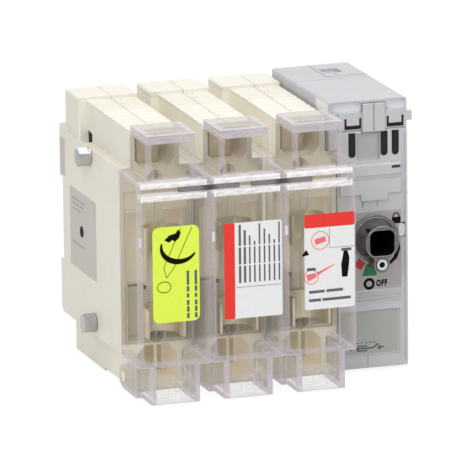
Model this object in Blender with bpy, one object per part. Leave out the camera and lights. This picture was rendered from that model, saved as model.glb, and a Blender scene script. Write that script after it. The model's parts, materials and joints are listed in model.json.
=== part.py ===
"""Three-pole fuse switch disconnector.

Three moulded poles stand side by side. Each holds a pair of fuse clips behind a clear hinged
cover, and a double-break rotor behind the clips. A grey mechanism module at the right turns
the common cross shaft from the rotary drive on its front, through a pair of bevel gears.

Datum frame: x = 0 at the left face of the first pole, y = 0 at the front of the clear covers,
z = 0 at the base. An empty carries everything so that the origin is the middle of the base.
"""

import math

import bmesh
import bpy
from mathutils import Matrix, Vector

# Poles
POLE_COUNT = 3
POLE_PITCH = 0.0315
FIT_GAP = 0.0003
OVERCUT = 0.0010
EDGE_ROUND = 0.0007
HOUSING_WALL = 0.0021
REAR_WALL = 0.0040
HOUSING_FRONT = 0.0254
COLUMN_WIDTH = 0.0215
SHOULDER_OVER_TROUGH = 0.00085
SHOULDER_UNDER_TROUGH = 0.00335
ROOF_FRONT_RISE = 0.0157
ROOF_PANEL_RISE = 0.0161
ROOF_REAR_RISE = 0.0175
ROOF_RIB_COUNT = 6
ROOF_RIB_PITCH = 0.0058
ROOF_RIB_STEP = 0.0005
RIB_GROOVE_SHARE = 0.12
RIB_SLOPE_SHARE = 0.30
RIB_CREST_SHARE = 0.95
REAR_COLUMN_DEPTH = 0.0201
REAR_COLUMN_LEFT = 0.0142
REAR_COLUMN_RIGHT = 0.0121
BASE_NOTCH_FRONT = 0.0430
BASE_NOTCH_LENGTH = 0.0217
BASE_NOTCH_HEIGHT = 0.0013
VENT_LENGTH = 0.0158
VENT_RISE = 0.0042
VENT_FRONT_RISE = 0.0035
VENT_FOOT = 0.0033
VENT_DEPTH = 0.0042
UPPER_VENT_FROM_BACK = 0.0276
LOWER_VENT_FROM_BACK = 0.0468
LOWER_VENT_HEIGHT = 0.0018
RAIL_WIDTH = 0.0350
RAIL_PLAY = 0.0009
FOOT_DEPTH = 0.0039
FOOT_HEIGHT = 0.0228
FOOT_CHAMFER = 0.0018

# Fuse, clips and the channels behind them
FUSE_DIAMETER = 0.0143
FUSE_DROP = 0.0084
BAY_RECESS = 0.00065
CLIP_OFFSET = 0.0170
CLIP_WIDTH = 0.0120
CLIP_SHEET = 0.0010
CLIP_GRIP_ANGLE = math.radians(28)
CLIP_LIP = 0.0023
CLIP_LIP_SPREAD = 0.0010
PILLAR_WIDTH = 0.0081
CHANNEL_WIDTH = 0.0083
CHANNEL_DEPTH = 0.0070
CHANNEL_BOTTOM = 0.0219
CHANNEL_HEIGHT = 0.0542
CHANNEL_FRAME = 0.0007
CHANNEL_FRAME_RAISE = 0.0005
BAY_MARGIN = 0.0013
TAIL_WIDTH = 0.0066
TAIL_LAP = 0.0010

# Terminals
COPPER_SHEET = 0.0018
PLATE_WIDTH = 0.0098
PLATE_SETBACK = 0.0103
PLATE_END_GAP = 0.0022
PAD_RAISE = 0.0006
PAD_MARGIN = 0.0010
TROUGH_WIDTH = 0.0170
TROUGH_DEPTH = 0.0184
TROUGH_FLAT_SHARE = 0.6
TROUGH_ROUND = 0.0037
LOWER_TROUGH_FLOOR = 0.0039
LOWER_TROUGH_HEIGHT = 0.01565
SCREW_BORE_RADIUS = 0.00325
SCREW_FROM_CHAMBER = 0.0023
BORE_WEB = 0.0008
TERMINAL_SCREW_RADIUS = 0.0028
TERMINAL_SCREW_HEAD = 0.0042
TERMINAL_SCREW_STEM = 0.0020
TERMINAL_SCREW_SOCKET = 0.0017

# Rotor and switch jaws
BLADE_HALF_LENGTH = 0.0160
BLADE_HALF_WIDTH = 0.0018
BLADE_SHEET = 0.0022
BLADE_ROUND = 0.0005
BLADE_IN_DRUM = 0.0013
CONTACT_LAP = 0.0026
JAW_LENGTH = 0.0046
JAW_SHEET = 0.0012
JAW_REACH = 0.0075
DRUM_CLEARANCE = 0.0016
ROTOR_WIDTH = 0.0175
SHAFT_SIDE = 0.0049
SHAFT_BORE = 0.0038
SHAFT_START = 0.0014
FRONT_CHAMBER_ROOM = 0.0140
REAR_CHAMBER_ROOM = 0.0047
CHAMBER_HALF_HEIGHT = 0.0310

# Clear fuse covers
COVER_WALL = 0.0019
COVER_BASE = 0.0005
COVER_GAP = 0.0002
COVER_LAP = 0.0015
COVER_TOP_SETBACK = 0.0026
COVER_RISE = 0.0180
COVER_TOP_SHEET = 0.0036
COVER_LOWER_WIDTH = 0.0210
COVER_STEP_Y = 0.0136
COVER_FLOOR_BACK = 0.0210
GRIP_DROP = 0.0095
GRIP_SLOT_DROP = 0.0065
GRIP_SLOT_HEIGHT = 0.0029
GRIP_FRONT = 0.0004
GRIP_DEPTH = 0.0054
GRIP_SLOT_DEPTH = 0.0035
GRIP_SIDE = 0.0016
HINGE_Y = 0.0315
HINGE_Z = 0.0057
HINGE_PIN_RADIUS = 0.0021
HINGE_PIN_ROOT = 0.0020
EAR_RADIUS = 0.0052
LINK_LENGTH = 0.0262
LINK_DEPTH = 0.0018
LINK_TOP_GAP = 0.0007
BREAKOUT_WIDTH = 0.0054
BREAKOUT_TOP = 0.0107
BREAKOUT_FOOT = 0.0017
BREAKOUT_RELIEF = 0.0005

# Mechanism module
MODULE_WIDTH = 0.0306
MODULE_OVERHANG = 0.0036
MODULE_BASE = 0.0014
MODULE_RISE = 0.0206
MODULE_RAISE = 0.0003
MODULE_BACK_FROM_AXIS = 0.0197
MODULE_FRONT = 0.0245
MODULE_WALL = 0.0020
MODULE_FACE = 0.0032
MODULE_ROUND = 0.0010
SPLIT_MARGIN = 0.0011
SKIN_STEP = 0.0009
SKIN_ROOT = 0.0010
DRIVE_FROM_RIGHT = 0.0146
BLOCK_RISE = 0.0183
BLOCK_HEIGHT = 0.0134
BLOCK_LEFT_MARGIN = 0.0010
BLOCK_RIGHT_MARGIN = 0.0028
BLOCK_GROOVE_RISE = 0.0067
BLOCK_GROOVE_HEIGHT = 0.0018
BLOCK_GROOVE_DEPTH = 0.0006
TONGUE_HALF_WIDTH = 0.0059
TONGUE_DROP = 0.0022
SIDE_RIB_WIDTH = 0.0010
SIDE_RIB_MARGIN = 0.0026
RELEASE_START = 0.0077
RELEASE_WIDTH = 0.0038
RELEASE_RISE = 0.0109
RELEASE_HEIGHT = 0.0013
SLOT_CENTRES = (-0.0094, 0.0047, 0.0096)
SLOT_WIDTH = 0.0032
SLOT_HEIGHT = 0.0106
SLOT_DEPTH = 0.0026
PANEL_MARGIN = 0.0005
PANEL_HEIGHT = 0.0119
RECESS_DEPTH = 0.0022
RECESS_MARGIN = 0.0007
RECESS_LEFT_INSET = 0.0014
RIDGE_BOTTOM_RISE = 0.0282
RIDGE_PITCH = 0.0016
RIDGE_HEIGHT = 0.0007
RIDGE_RAISE = 0.0003
PLATE_BOTTOM_RISE = 0.0051
PLATE_HEIGHT = 0.0195
PLATE_RECESS = 0.0005
PLATE_RIGHT_MARGIN = 0.0033
TOP_RAISED_LEFT = 0.0039
TOP_RAISED_FRONT = 0.0041
POCKET_LEFT = 0.0026
POCKET_FRONT = 0.0106
POCKET_SIZE = 0.0081
POCKET_DEPTH = 0.0012
POCKET_SLOT_INSET = 0.0010
POCKET_SLOT_LENGTH = 0.0037
DIMPLE_RADIUS = 0.0012
DIMPLE_DEPTH = 0.0004
DIMPLE_AHEAD = 0.0030

# Rotary drive
SOCKET_FRONT = 0.0140
SOCKET_RADIUS = 0.0073
SOCKET_NECK_RADIUS = 0.0070
SOCKET_RIM = 0.0022
SOCKET_FLANGE_RADIUS = 0.0103
SOCKET_FLANGE = 0.0015
SOCKET_SKIRT = 0.0052
SOCKET_SKIRT_INSET = 0.0010
SOCKET_HOLE = 0.0110
SOCKET_HOLE_ROUND = 0.0027
SOCKET_DEPTH = 0.0210
SOCKET_END = 0.0035
LOBE_OFFSET = 0.0093
LOBE_RADIUS = 0.0035
LOBE_SETBACK = 0.0007
LOBE_DEPTH = 0.0074
LOBE_FLOOR = 0.0013
WEB_SHARE = 0.9
SET_SCREW_RADIUS = 0.0023
SET_SCREW_SETBACK = 0.0004
SET_SCREW_SOCKET = 0.0013
SET_SCREW_SOCKET_DEPTH = 0.0018
DRIVE_SHAFT_RADIUS = 0.0044
DRIVE_SHAFT_HEAD = 0.0026
TANG_ROOT = 0.0020
GEAR_RADIUS = 0.0096
GEAR_TEETH = 16
GEAR_TOOTH_HALF_DEPTH = 0.0008
GEAR_TIP_SHARE = 0.12
GEAR_ROOT_SHARE = 0.30
GEAR_ROOT_DROP = 1.3
GEAR_TOE = 0.60

# Strap and lock tab
STRAP_RISE = 0.0081
STRAP_HEIGHT = 0.0075
STRAP_SHEET = 0.0015
STRAP_LEFT_MARGIN = 0.0005
STRAP_TAB_OUTREACH = 0.0021
STRAP_TAB_RISE = 0.0028
STRAP_TAB_HEIGHT = 0.0039
STRAP_ROUND = 0.0003
STRAP_BLOCK_WIDTH = 0.0098
STRAP_BLOCK_RISE = 0.0111
STRAP_BLOCK_DROP = 0.0011
STRAP_BLOCK_PROUD = 0.0007
PART_LINE_WIDTH = 0.0005
TONGUE_CENTRES = (-0.0089, 0.0096)
SPRING_WIDTH = 0.0075
SPRING_SLIT = 0.0010
SPRING_BAR_RISE = 0.0004
SPRING_BAR_HEIGHT = 0.0017
SPRING_SLIT_TOP = 0.0051
LOCK_TAB_WIDTH = 0.0028
LOCK_TAB_HEIGHT = 0.0056
LOCK_TAB_LENGTH = 0.0260
LOCK_TAB_OFFSET = 0.0120
LOCK_TAB_RISE = 0.0026
LOCK_TAB_PROUD = 0.0005
LOCK_TAB_ROUND = 0.0012
LOCK_TAB_EYE = 0.0019
LOCK_TAB_EYE_DEPTH = 0.0046

# Tie bolts
BOLT_RADIUS = 0.0020
BOLT_HEAD_FLATS = 0.0070
BOLT_HEAD_HEIGHT = 0.0044
BOLT_WASHER_RADIUS = 0.0040
BOLT_WASHER = 0.0007
BOLT_FROM_CHAMBER = 0.0040
UPPER_BOLT_Y = 0.0656
LOWER_BOLT_Y = 0.0613
NUT_HEIGHT = 0.0032

# Sizes that follow: across
HALF_POLE = (POLE_PITCH - FIT_GAP) / 2
HALF_COLUMN = COLUMN_WIDTH / 2
INNER_HALF = HALF_POLE - HOUSING_WALL
MODULE_LEFT = POLE_PITCH * POLE_COUNT + FIT_GAP / 2
MODULE_RIGHT = MODULE_LEFT + MODULE_WIDTH
MODULE_TOP_LEFT = MODULE_LEFT - MODULE_OVERHANG
DRIVE_X = MODULE_RIGHT - DRIVE_FROM_RIGHT
BOLT_START = -BOLT_WASHER - BOLT_HEAD_HEIGHT - FIT_GAP / 2
STRAP_TAB_RIGHT = MODULE_RIGHT + STRAP_TAB_OUTREACH
MID_X = (BOLT_START + STRAP_TAB_RIGHT) / 2

# Sizes that follow: front to back
FUSE_RADIUS = FUSE_DIAMETER / 2
BAY_BACK = HOUSING_FRONT + BAY_RECESS
FUSE_AXIS_Y = BAY_BACK - FIT_GAP - CLIP_SHEET - FUSE_RADIUS
CHANNEL_BACK = BAY_BACK + CHANNEL_DEPTH
TROUGH_BACK = HOUSING_FRONT + TROUGH_DEPTH
PLATE_FRONT = HOUSING_FRONT + PLATE_SETBACK
PLATE_BACK = PLATE_FRONT + COPPER_SHEET
CHAMBER_FRONT = TROUGH_BACK + HOUSING_WALL
JAW_START = BLADE_HALF_LENGTH - CONTACT_LAP
ROTOR_RADIUS = JAW_START - DRUM_CLEARANCE
BLADE_OFFSET = ROTOR_RADIUS - BLADE_IN_DRUM
AXIS_Y = CHAMBER_FRONT + FRONT_CHAMBER_ROOM + JAW_LENGTH + JAW_START
CHAMBER_BACK = AXIS_Y + JAW_START + JAW_LENGTH + REAR_CHAMBER_ROOM
HOUSING_BACK = CHAMBER_BACK + REAR_WALL
REAR_COLUMN_FRONT = HOUSING_BACK - REAR_COLUMN_DEPTH
FOOT_BACK = HOUSING_BACK + FOOT_DEPTH
MID_Y = FOOT_BACK / 2
MODULE_SPLIT = UPPER_BOLT_Y + BOLT_RADIUS + FIT_GAP + SPLIT_MARGIN
HUB_END = SOCKET_FRONT + SOCKET_DEPTH + SOCKET_END

# Sizes that follow: upward
SCREW_OFFSET = CHAMBER_HALF_HEIGHT + SCREW_FROM_CHAMBER
TROUGH_OFFSET = SCREW_OFFSET + SCREW_BORE_RADIUS + BORE_WEB
TERMINAL_STRIP_Z = CHAMBER_HALF_HEIGHT - HOUSING_WALL / 2 - COPPER_SHEET / 2
AXIS_Z = LOWER_TROUGH_FLOOR + LOWER_TROUGH_HEIGHT + TROUGH_OFFSET
SHOULDER_TOP = AXIS_Z + TROUGH_OFFSET + SHOULDER_OVER_TROUGH
SHOULDER_BOTTOM = AXIS_Z - TROUGH_OFFSET - SHOULDER_UNDER_TROUGH
ROOF_FRONT = SHOULDER_TOP + ROOF_FRONT_RISE
ROOF_PANEL = SHOULDER_TOP + ROOF_PANEL_RISE
ROOF_REAR = SHOULDER_TOP + ROOF_REAR_RISE
UPPER_TROUGH_TOP = ROOF_FRONT - HOUSING_WALL
FUSE_Z = AXIS_Z - FUSE_DROP
CHANNEL_TOP = CHANNEL_BOTTOM + CHANNEL_HEIGHT
BAY_TOP = AXIS_Z + SCREW_OFFSET - SCREW_BORE_RADIUS - HOUSING_WALL
RAIL_SPACE = RAIL_WIDTH + RAIL_PLAY
RAIL_TOP = AXIS_Z + RAIL_SPACE / 2
RAIL_BOTTOM = AXIS_Z - RAIL_SPACE / 2
UPPER_FOOT_TOP = RAIL_TOP + FOOT_HEIGHT
LOWER_FOOT_BOTTOM = RAIL_BOTTOM - FOOT_HEIGHT
COVER_TOP = SHOULDER_TOP + COVER_RISE
GRIP_BOTTOM = SHOULDER_TOP - GRIP_DROP
GRIP_SLOT_BOTTOM = SHOULDER_TOP - GRIP_SLOT_DROP
GRIP_SLOT_TOP = GRIP_SLOT_BOTTOM + GRIP_SLOT_HEIGHT
MODULE_TOP = SHOULDER_TOP + MODULE_RISE
MODULE_BACK = AXIS_Y + MODULE_BACK_FROM_AXIS
STRAP_BOTTOM = SHOULDER_TOP + STRAP_RISE
STRAP_TOP = STRAP_BOTTOM + STRAP_HEIGHT
STRAP_BLOCK_BOTTOM = STRAP_BOTTOM - STRAP_BLOCK_DROP
STRAP_BLOCK_TOP = STRAP_BOTTOM + STRAP_BLOCK_RISE
SLOT_TOP = STRAP_BLOCK_BOTTOM
BLOCK_BOTTOM = AXIS_Z + BLOCK_RISE
LOBE_Z = AXIS_Z - LOBE_OFFSET
LOCK_TAB_Z = AXIS_Z + LOCK_TAB_RISE
BOLT_OFFSET = CHAMBER_HALF_HEIGHT + BOLT_FROM_CHAMBER
UPPER_BOLT = (UPPER_BOLT_Y, AXIS_Z + BOLT_OFFSET)
LOWER_BOLT = (LOWER_BOLT_Y, AXIS_Z - BOLT_OFFSET)

CREAM = ((0.80, 0.77, 0.68), 0.45, 0.0)
CLEAR = ((0.86, 0.86, 0.90), 0.08, 0.0)
DARK_GREY = ((0.10, 0.10, 0.11), 0.50, 0.0)
LIGHT_GREY = ((0.56, 0.57, 0.59), 0.45, 0.0)
TAB_GREY = ((0.75, 0.76, 0.75), 0.40, 0.0)
CAST_GREY = ((0.20, 0.20, 0.21), 0.40, 0.6)
COPPER = ((0.72, 0.45, 0.28), 0.35, 1.0)
TINNED = ((0.78, 0.72, 0.62), 0.30, 1.0)
ZINC = ((0.66, 0.67, 0.68), 0.30, 1.0)
BLACK = ((0.02, 0.02, 0.02), 0.50, 0.0)
SMOOTH_ANGLE = math.radians(35)

for old in list(bpy.data.objects):
    bpy.data.objects.remove(old)

parts = bpy.data.collections.new("fuse_switch_disconnector")
tools = bpy.data.collections.new("cutters")
bpy.context.scene.collection.children.link(parts)
bpy.context.scene.collection.children.link(tools)

datum = bpy.data.objects.new("datum", None)
datum.location = (-MID_X, -MID_Y, 0.0)
parts.objects.link(datum)


# Modelling helpers
def material(name, finish):
    """A plain Principled material of one colour, roughness and metallic value."""
    colour, roughness, metallic = finish
    new = bpy.data.materials.new(name)
    new.use_nodes = True
    shader = new.node_tree.nodes["Principled BSDF"]
    shader.inputs["Base Color"].default_value = (*colour, 1.0)
    shader.inputs["Roughness"].default_value = roughness
    shader.inputs["Metallic"].default_value = metallic
    return new


def solid(name, bm):
    """Object made from a bmesh, kept with the cutters until it becomes a part."""
    bmesh.ops.recalc_face_normals(bm, faces=bm.faces)
    if bm.calc_volume(signed=True) < 0:
        bmesh.ops.reverse_faces(bm, faces=bm.faces)
    mesh = bpy.data.meshes.new(name)
    bm.to_mesh(mesh)
    bm.free()
    obj = bpy.data.objects.new(f"form_{name}", mesh)
    obj.hide_render = True
    obj.display_type = "WIRE"
    tools.objects.link(obj)
    return obj


def box(name, x, y, z, rounded=0.0, along="XYZ", segments=1):
    """Box between two coordinates on each axis, its edges along the named axes rounded."""
    bm = bmesh.new()
    bmesh.ops.create_cube(bm, size=1.0)
    spans = (x, y, z)
    bmesh.ops.scale(bm, vec=[high - low for low, high in spans], verts=bm.verts)
    bmesh.ops.translate(bm, vec=[(low + high) / 2 for low, high in spans], verts=bm.verts)
    if rounded:
        axes = ["XYZ".index(letter) for letter in along]
        edges = [edge for edge in bm.edges
                 if max(range(3), key=lambda i: abs((edge.verts[0].co - edge.verts[1].co)[i])) in axes]
        bmesh.ops.bevel(bm, geom=edges, offset=rounded, segments=segments, profile=0.5,
                        affect="EDGES", offset_type="OFFSET", material=-1)
    return solid(name, bm)


def turned(axis, centre):
    """Matrix that lays a shape made about local z along a world axis, at a centre."""
    turn = {"X": Matrix.Rotation(math.pi / 2, 4, "Y"),
            "Y": Matrix.Rotation(-math.pi / 2, 4, "X"),
            "Z": Matrix.Identity(4)}[axis]
    return Matrix.Translation(Vector(centre)) @ turn


def cylinder(name, axis, centre, radius, span, segments=24, end_radius=None, turn=0.0):
    """Cylinder or cone about an axis through a centre, between two coordinates on that axis."""
    middle = list(centre)
    middle["XYZ".index(axis)] = (span[0] + span[1]) / 2
    bm = bmesh.new()
    bmesh.ops.create_cone(bm, cap_ends=True, segments=segments, radius1=radius,
                          radius2=radius if end_radius is None else end_radius,
                          depth=span[1] - span[0],
                          matrix=turned(axis, middle) @ Matrix.Rotation(turn, 4, "Z"))
    return solid(name, bm)


def prism(name, outline, plane, span):
    """Flat outline, as points in the named plane, extruded between two coordinates."""
    curve = bpy.data.curves.new(name, "CURVE")
    curve.dimensions = "2D"
    curve.fill_mode = "BOTH"
    curve.extrude = (span[1] - span[0]) / 2
    spline = curve.splines.new("POLY")
    spline.points.add(len(outline) - 1)
    for point, (across, along) in zip(spline.points, outline):
        point.co = (across, along, 0.0, 1.0)
    spline.use_cyclic_u = True
    sheet = bpy.data.objects.new(name, curve)
    tools.objects.link(sheet)
    bpy.context.view_layer.update()
    graph = bpy.context.evaluated_depsgraph_get()
    mesh = bpy.data.meshes.new_from_object(sheet.evaluated_get(graph))
    bpy.data.objects.remove(sheet)
    bm = bmesh.new()
    bm.from_mesh(mesh)
    bpy.data.meshes.remove(mesh)
    bmesh.ops.remove_doubles(bm, verts=bm.verts, dist=0.000001)
    middle = (span[0] + span[1]) / 2
    lay = {"YZ": Matrix(((0, 0, 1, middle), (1, 0, 0, 0), (0, 1, 0, 0), (0, 0, 0, 1))),
           "XZ": Matrix(((1, 0, 0, 0), (0, 0, -1, middle), (0, 1, 0, 0), (0, 0, 0, 1))),
           "XY": Matrix.Translation((0, 0, middle))}[plane]
    bm.transform(lay)
    return solid(name, bm)


def arc(centre, radius, start, end, steps):
    """Points along a circular arc, both ends included."""
    return [(centre[0] + radius * math.cos(start + (end - start) * i / steps),
             centre[1] + radius * math.sin(start + (end - start) * i / steps))
            for i in range(steps + 1)]


def combine(target, operation, *others):
    """Boolean modifiers on the target, one for each of the other solids."""
    for other in others:
        modifier = target.modifiers.new(other.name, "BOOLEAN")
        modifier.operation = operation
        modifier.solver = "EXACT"
        modifier.object = other
    return target


def add(target, *others):
    return combine(target, "UNION", *others)


def cut(target, *others):
    return combine(target, "DIFFERENCE", *others)


def shaped(obj):
    """The mesh of an object after its modifiers."""
    bpy.context.view_layer.update()
    graph = bpy.context.evaluated_depsgraph_get()
    return bpy.data.meshes.new_from_object(obj.evaluated_get(graph))


def place(name, mesh, finish, x=0.0, pivot=(0.0, 0.0, 0.0), parent=None):
    """A finished part: its mesh moved along x, with its origin at the pivot."""
    mesh = mesh.copy()
    mesh.name = name
    mesh.transform(Matrix.Translation(Vector((x, 0.0, 0.0)) - Vector(pivot)))
    mesh.materials.clear()
    mesh.materials.append(material(name, finish))
    mesh.shade_smooth()
    mesh.set_sharp_from_angle(angle=SMOOTH_ANGLE)
    obj = bpy.data.objects.new(name, mesh)
    obj.parent = parent or datum
    obj.location = pivot if parent is None else (0.0, 0.0, 0.0)
    parts.objects.link(obj)
    return obj


def place_per_pole(name, mesh, finish, pivot=(0.0, 0.0, 0.0), parent=None):
    """One copy of a part in each pole."""
    for index in range(POLE_COUNT):
        place(f"{name}_{index + 1}", mesh, finish, pole_centre(index), pivot, parent)


def pole_centre(index):
    return POLE_PITCH * (index + 0.5)


def pivot_frame(name, pivot):
    """Empty on a joint's axis, which carries the pieces of a moving body."""
    empty = bpy.data.objects.new(name, None)
    empty.parent = datum
    empty.location = pivot
    parts.objects.link(empty)
    return empty


def between(one, other):
    """Span from the lower to the higher of two coordinates."""
    return (min(one, other), max(one, other))


def about(middle, width):
    """Span of a width about a middle coordinate."""
    return (middle - width / 2, middle + width / 2)


def both_sides(inner, outer):
    """The two spans on x that a symmetric pair of features takes up."""
    return ((-outer, -inner), (inner, outer))


# Pole housing: two half shells, modelled about the pole's own middle plane
def foot_outline():
    """Side view of the wide middle section, with the two rear feet round the rail space."""
    lower_foot = max(LOWER_FOOT_BOTTOM, SHOULDER_BOTTOM)
    return [
        (HOUSING_FRONT, SHOULDER_BOTTOM),
        (FOOT_BACK - FOOT_CHAMFER, lower_foot),
        (FOOT_BACK, lower_foot + FOOT_CHAMFER),
        (FOOT_BACK, RAIL_BOTTOM),
        (HOUSING_BACK, RAIL_BOTTOM),
        (HOUSING_BACK, RAIL_TOP),
        (FOOT_BACK, RAIL_TOP),
        (FOOT_BACK, UPPER_FOOT_TOP - FOOT_CHAMFER),
        (FOOT_BACK - FOOT_CHAMFER, UPPER_FOOT_TOP),
        (HOUSING_BACK - FOOT_DEPTH, UPPER_FOOT_TOP),
        (HOUSING_BACK - FOOT_DEPTH, SHOULDER_TOP),
        (HOUSING_FRONT, SHOULDER_TOP),
    ]


def column_outline():
    """Side view of the narrow terminal column, with its louvred roof and its notched base."""
    rib_start = HOUSING_FRONT + ROOF_RIB_COUNT * ROOF_RIB_PITCH
    notch_back = BASE_NOTCH_FRONT + BASE_NOTCH_LENGTH
    points = [(HOUSING_FRONT, 0.0), (BASE_NOTCH_FRONT, 0.0),
              (BASE_NOTCH_FRONT + BASE_NOTCH_HEIGHT, BASE_NOTCH_HEIGHT),
              (notch_back - BASE_NOTCH_HEIGHT, BASE_NOTCH_HEIGHT), (notch_back, 0.0),
              (HOUSING_BACK, 0.0), (HOUSING_BACK, ROOF_PANEL), (REAR_COLUMN_FRONT, ROOF_PANEL),
              (rib_start, ROOF_PANEL)]
    for rib in range(ROOF_RIB_COUNT):
        back = rib_start - rib * ROOF_RIB_PITCH
        crest = ROOF_PANEL - (ROOF_PANEL - ROOF_FRONT) * (rib + 1) / ROOF_RIB_COUNT
        points += [(back - ROOF_RIB_PITCH * RIB_GROOVE_SHARE, crest - ROOF_RIB_STEP),
                   (back - ROOF_RIB_PITCH * RIB_SLOPE_SHARE, crest),
                   (back - ROOF_RIB_PITCH * RIB_CREST_SHARE, crest)]
    points.append((HOUSING_FRONT, ROOF_FRONT - ROOF_RIB_STEP))
    return points


def trough(side, far):
    """Terminal trough open to the front, its end next to the screw bore round in front view."""
    half = TROUGH_WIDTH / 2
    flat = half * TROUGH_FLAT_SHARE
    near = AXIS_Z + side * TROUGH_OFFSET
    level = near + side * TROUGH_ROUND
    outline = [(half, far), (-half, far), (-half, level), (-flat, near), (flat, near), (half, level)]
    return prism(f"trough_{side}", outline, "XZ", (HOUSING_FRONT - OVERCUT, TROUGH_BACK))


def strap_height(side):
    """Height of the copper tail behind the upper (side 1) or lower (side -1) fuse clip."""
    return FUSE_Z + side * CLIP_OFFSET + CLIP_WIDTH / 2 - COPPER_SHEET


def pole_body():
    """The whole pole moulding, before it is parted down its middle plane."""
    body = prism("pole_body", foot_outline(), "YZ", (-HALF_POLE, HALF_POLE))
    column = prism("pole_column", column_outline(), "YZ", (-HALF_COLUMN, HALF_COLUMN))
    rear_column = box("pole_rear_column", (-REAR_COLUMN_LEFT, REAR_COLUMN_RIGHT),
                      (REAR_COLUMN_FRONT, HOUSING_BACK - FIT_GAP),
                      (SHOULDER_TOP - OVERCUT, ROOF_REAR), rounded=EDGE_ROUND, along="YZ")
    pin_end = HALF_COLUMN + FIT_GAP + COVER_WALL
    pins = [cylinder(f"hinge_pin_{index}", "X", (0, HINGE_Y, HINGE_Z), HINGE_PIN_RADIUS, span, segments=16)
            for index, span in enumerate(both_sides(HALF_COLUMN - HINGE_PIN_ROOT, pin_end))]
    add(body, column, rear_column, *pins)

    front_open = HOUSING_FRONT - OVERCUT
    channel_spans = both_sides(PILLAR_WIDTH / 2, PILLAR_WIDTH / 2 + CHANNEL_WIDTH)
    cut(body, box("bay_recess", (-INNER_HALF, INNER_HALF), (front_open, BAY_BACK),
                  (CHANNEL_BOTTOM - BAY_MARGIN, BAY_TOP)))
    add(body, *[box(f"channel_frame_{index}", (low - CHANNEL_FRAME, high + CHANNEL_FRAME),
                    (BAY_BACK - CHANNEL_FRAME_RAISE, BAY_BACK + OVERCUT),
                    (CHANNEL_BOTTOM - CHANNEL_FRAME, CHANNEL_TOP + CHANNEL_FRAME))
                for index, (low, high) in enumerate(channel_spans)])
    channels = [box(f"gas_channel_{index}", span, (front_open, CHANNEL_BACK), (CHANNEL_BOTTOM, CHANNEL_TOP))
                for index, span in enumerate(channel_spans)]
    chamber = box("rotor_chamber", (-INNER_HALF, INNER_HALF), (CHAMBER_FRONT, CHAMBER_BACK),
                  about(AXIS_Z, 2 * CHAMBER_HALF_HEIGHT))
    front_chamber_start = CHANNEL_BACK + HOUSING_WALL
    front_chamber = box("front_chamber", (-INNER_HALF, INNER_HALF),
                        (front_chamber_start, CHAMBER_FRONT + OVERCUT),
                        (strap_height(-1) - 2 * COPPER_SHEET, strap_height(1) + 2 * COPPER_SHEET))
    troughs = [trough(1, UPPER_TROUGH_TOP), trough(-1, LOWER_TROUGH_FLOOR)]
    openings = [*channels, chamber, front_chamber, *troughs]

    half_tail = TAIL_WIDTH / 2 + FIT_GAP
    half_plate = PLATE_WIDTH / 2 + FIT_GAP
    slot_height = COPPER_SHEET + 2 * FIT_GAP
    for side in (1, -1):
        strip_z = AXIS_Z + side * TERMINAL_STRIP_Z
        trough_z = AXIS_Z + side * TROUGH_OFFSET
        openings.append(box(f"tail_slot_{side}", (-half_tail, half_tail),
                            (BAY_BACK - OVERCUT, front_chamber_start + OVERCUT),
                            about(strap_height(side), slot_height)))
        openings.append(box(f"strip_slot_{side}", (-half_plate, half_plate),
                            (PLATE_FRONT - FIT_GAP, CHAMBER_FRONT + OVERCUT), about(strip_z, slot_height)))
        openings.append(box(f"plate_slot_{side}", (-half_plate, half_plate),
                            (PLATE_FRONT - FIT_GAP, PLATE_BACK + FIT_GAP),
                            between(strip_z, trough_z + side * OVERCUT)))
        openings.append(cylinder(f"screw_bore_{side}", "Y", (0, 0, AXIS_Z + side * SCREW_OFFSET),
                                 SCREW_BORE_RADIUS, (front_open, TROUGH_BACK), segments=20))

    ends = (-HALF_POLE - OVERCUT, HALF_POLE + OVERCUT)
    openings.append(cylinder("shaft_hole", "X", (0, AXIS_Y, AXIS_Z), SHAFT_BORE, ends))
    openings += [cylinder(f"bolt_hole_{label}", "X", (0, *centre), BOLT_RADIUS + FIT_GAP, ends, segments=16)
                 for label, centre in (("upper", UPPER_BOLT), ("lower", LOWER_BOLT))]
    vent_end = -HALF_COLUMN + VENT_DEPTH
    vent_front = HOUSING_BACK - UPPER_VENT_FROM_BACK
    vent_back = REAR_COLUMN_FRONT - FIT_GAP
    openings.append(prism("upper_vent", [(vent_front, SHOULDER_TOP),
                                         (vent_back, SHOULDER_TOP - VENT_FOOT),
                                         (vent_back, SHOULDER_TOP + VENT_RISE),
                                         (vent_front, SHOULDER_TOP + VENT_FRONT_RISE)],
                          "YZ", (-REAR_COLUMN_LEFT, vent_end)))
    lower_vent_front = HOUSING_BACK - LOWER_VENT_FROM_BACK
    openings.append(box("lower_vent", (-HALF_POLE, vent_end),
                        (lower_vent_front, lower_vent_front + VENT_LENGTH),
                        (SHOULDER_BOTTOM - LOWER_VENT_HEIGHT, SHOULDER_BOTTOM)))
    return cut(body, *openings)


body_mesh = shaped(pole_body())
reach = HALF_POLE + COVER_WALL + HOUSING_WALL
for half_name, span in (("left_shell", (-reach, -FIT_GAP / 2)), ("right_shell", (FIT_GAP / 2, reach))):
    half = bpy.data.objects.new(half_name, body_mesh)
    tools.objects.link(half)
    half.hide_render = True
    half.display_type = "WIRE"
    keep = box(f"{half_name}_side", span, (-OVERCUT, FOOT_BACK + OVERCUT), (-OVERCUT, ROOF_REAR + OVERCUT))
    combine(half, "INTERSECT", keep)
    place_per_pole(f"pole_{half_name}", shaped(half), CREAM)


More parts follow.
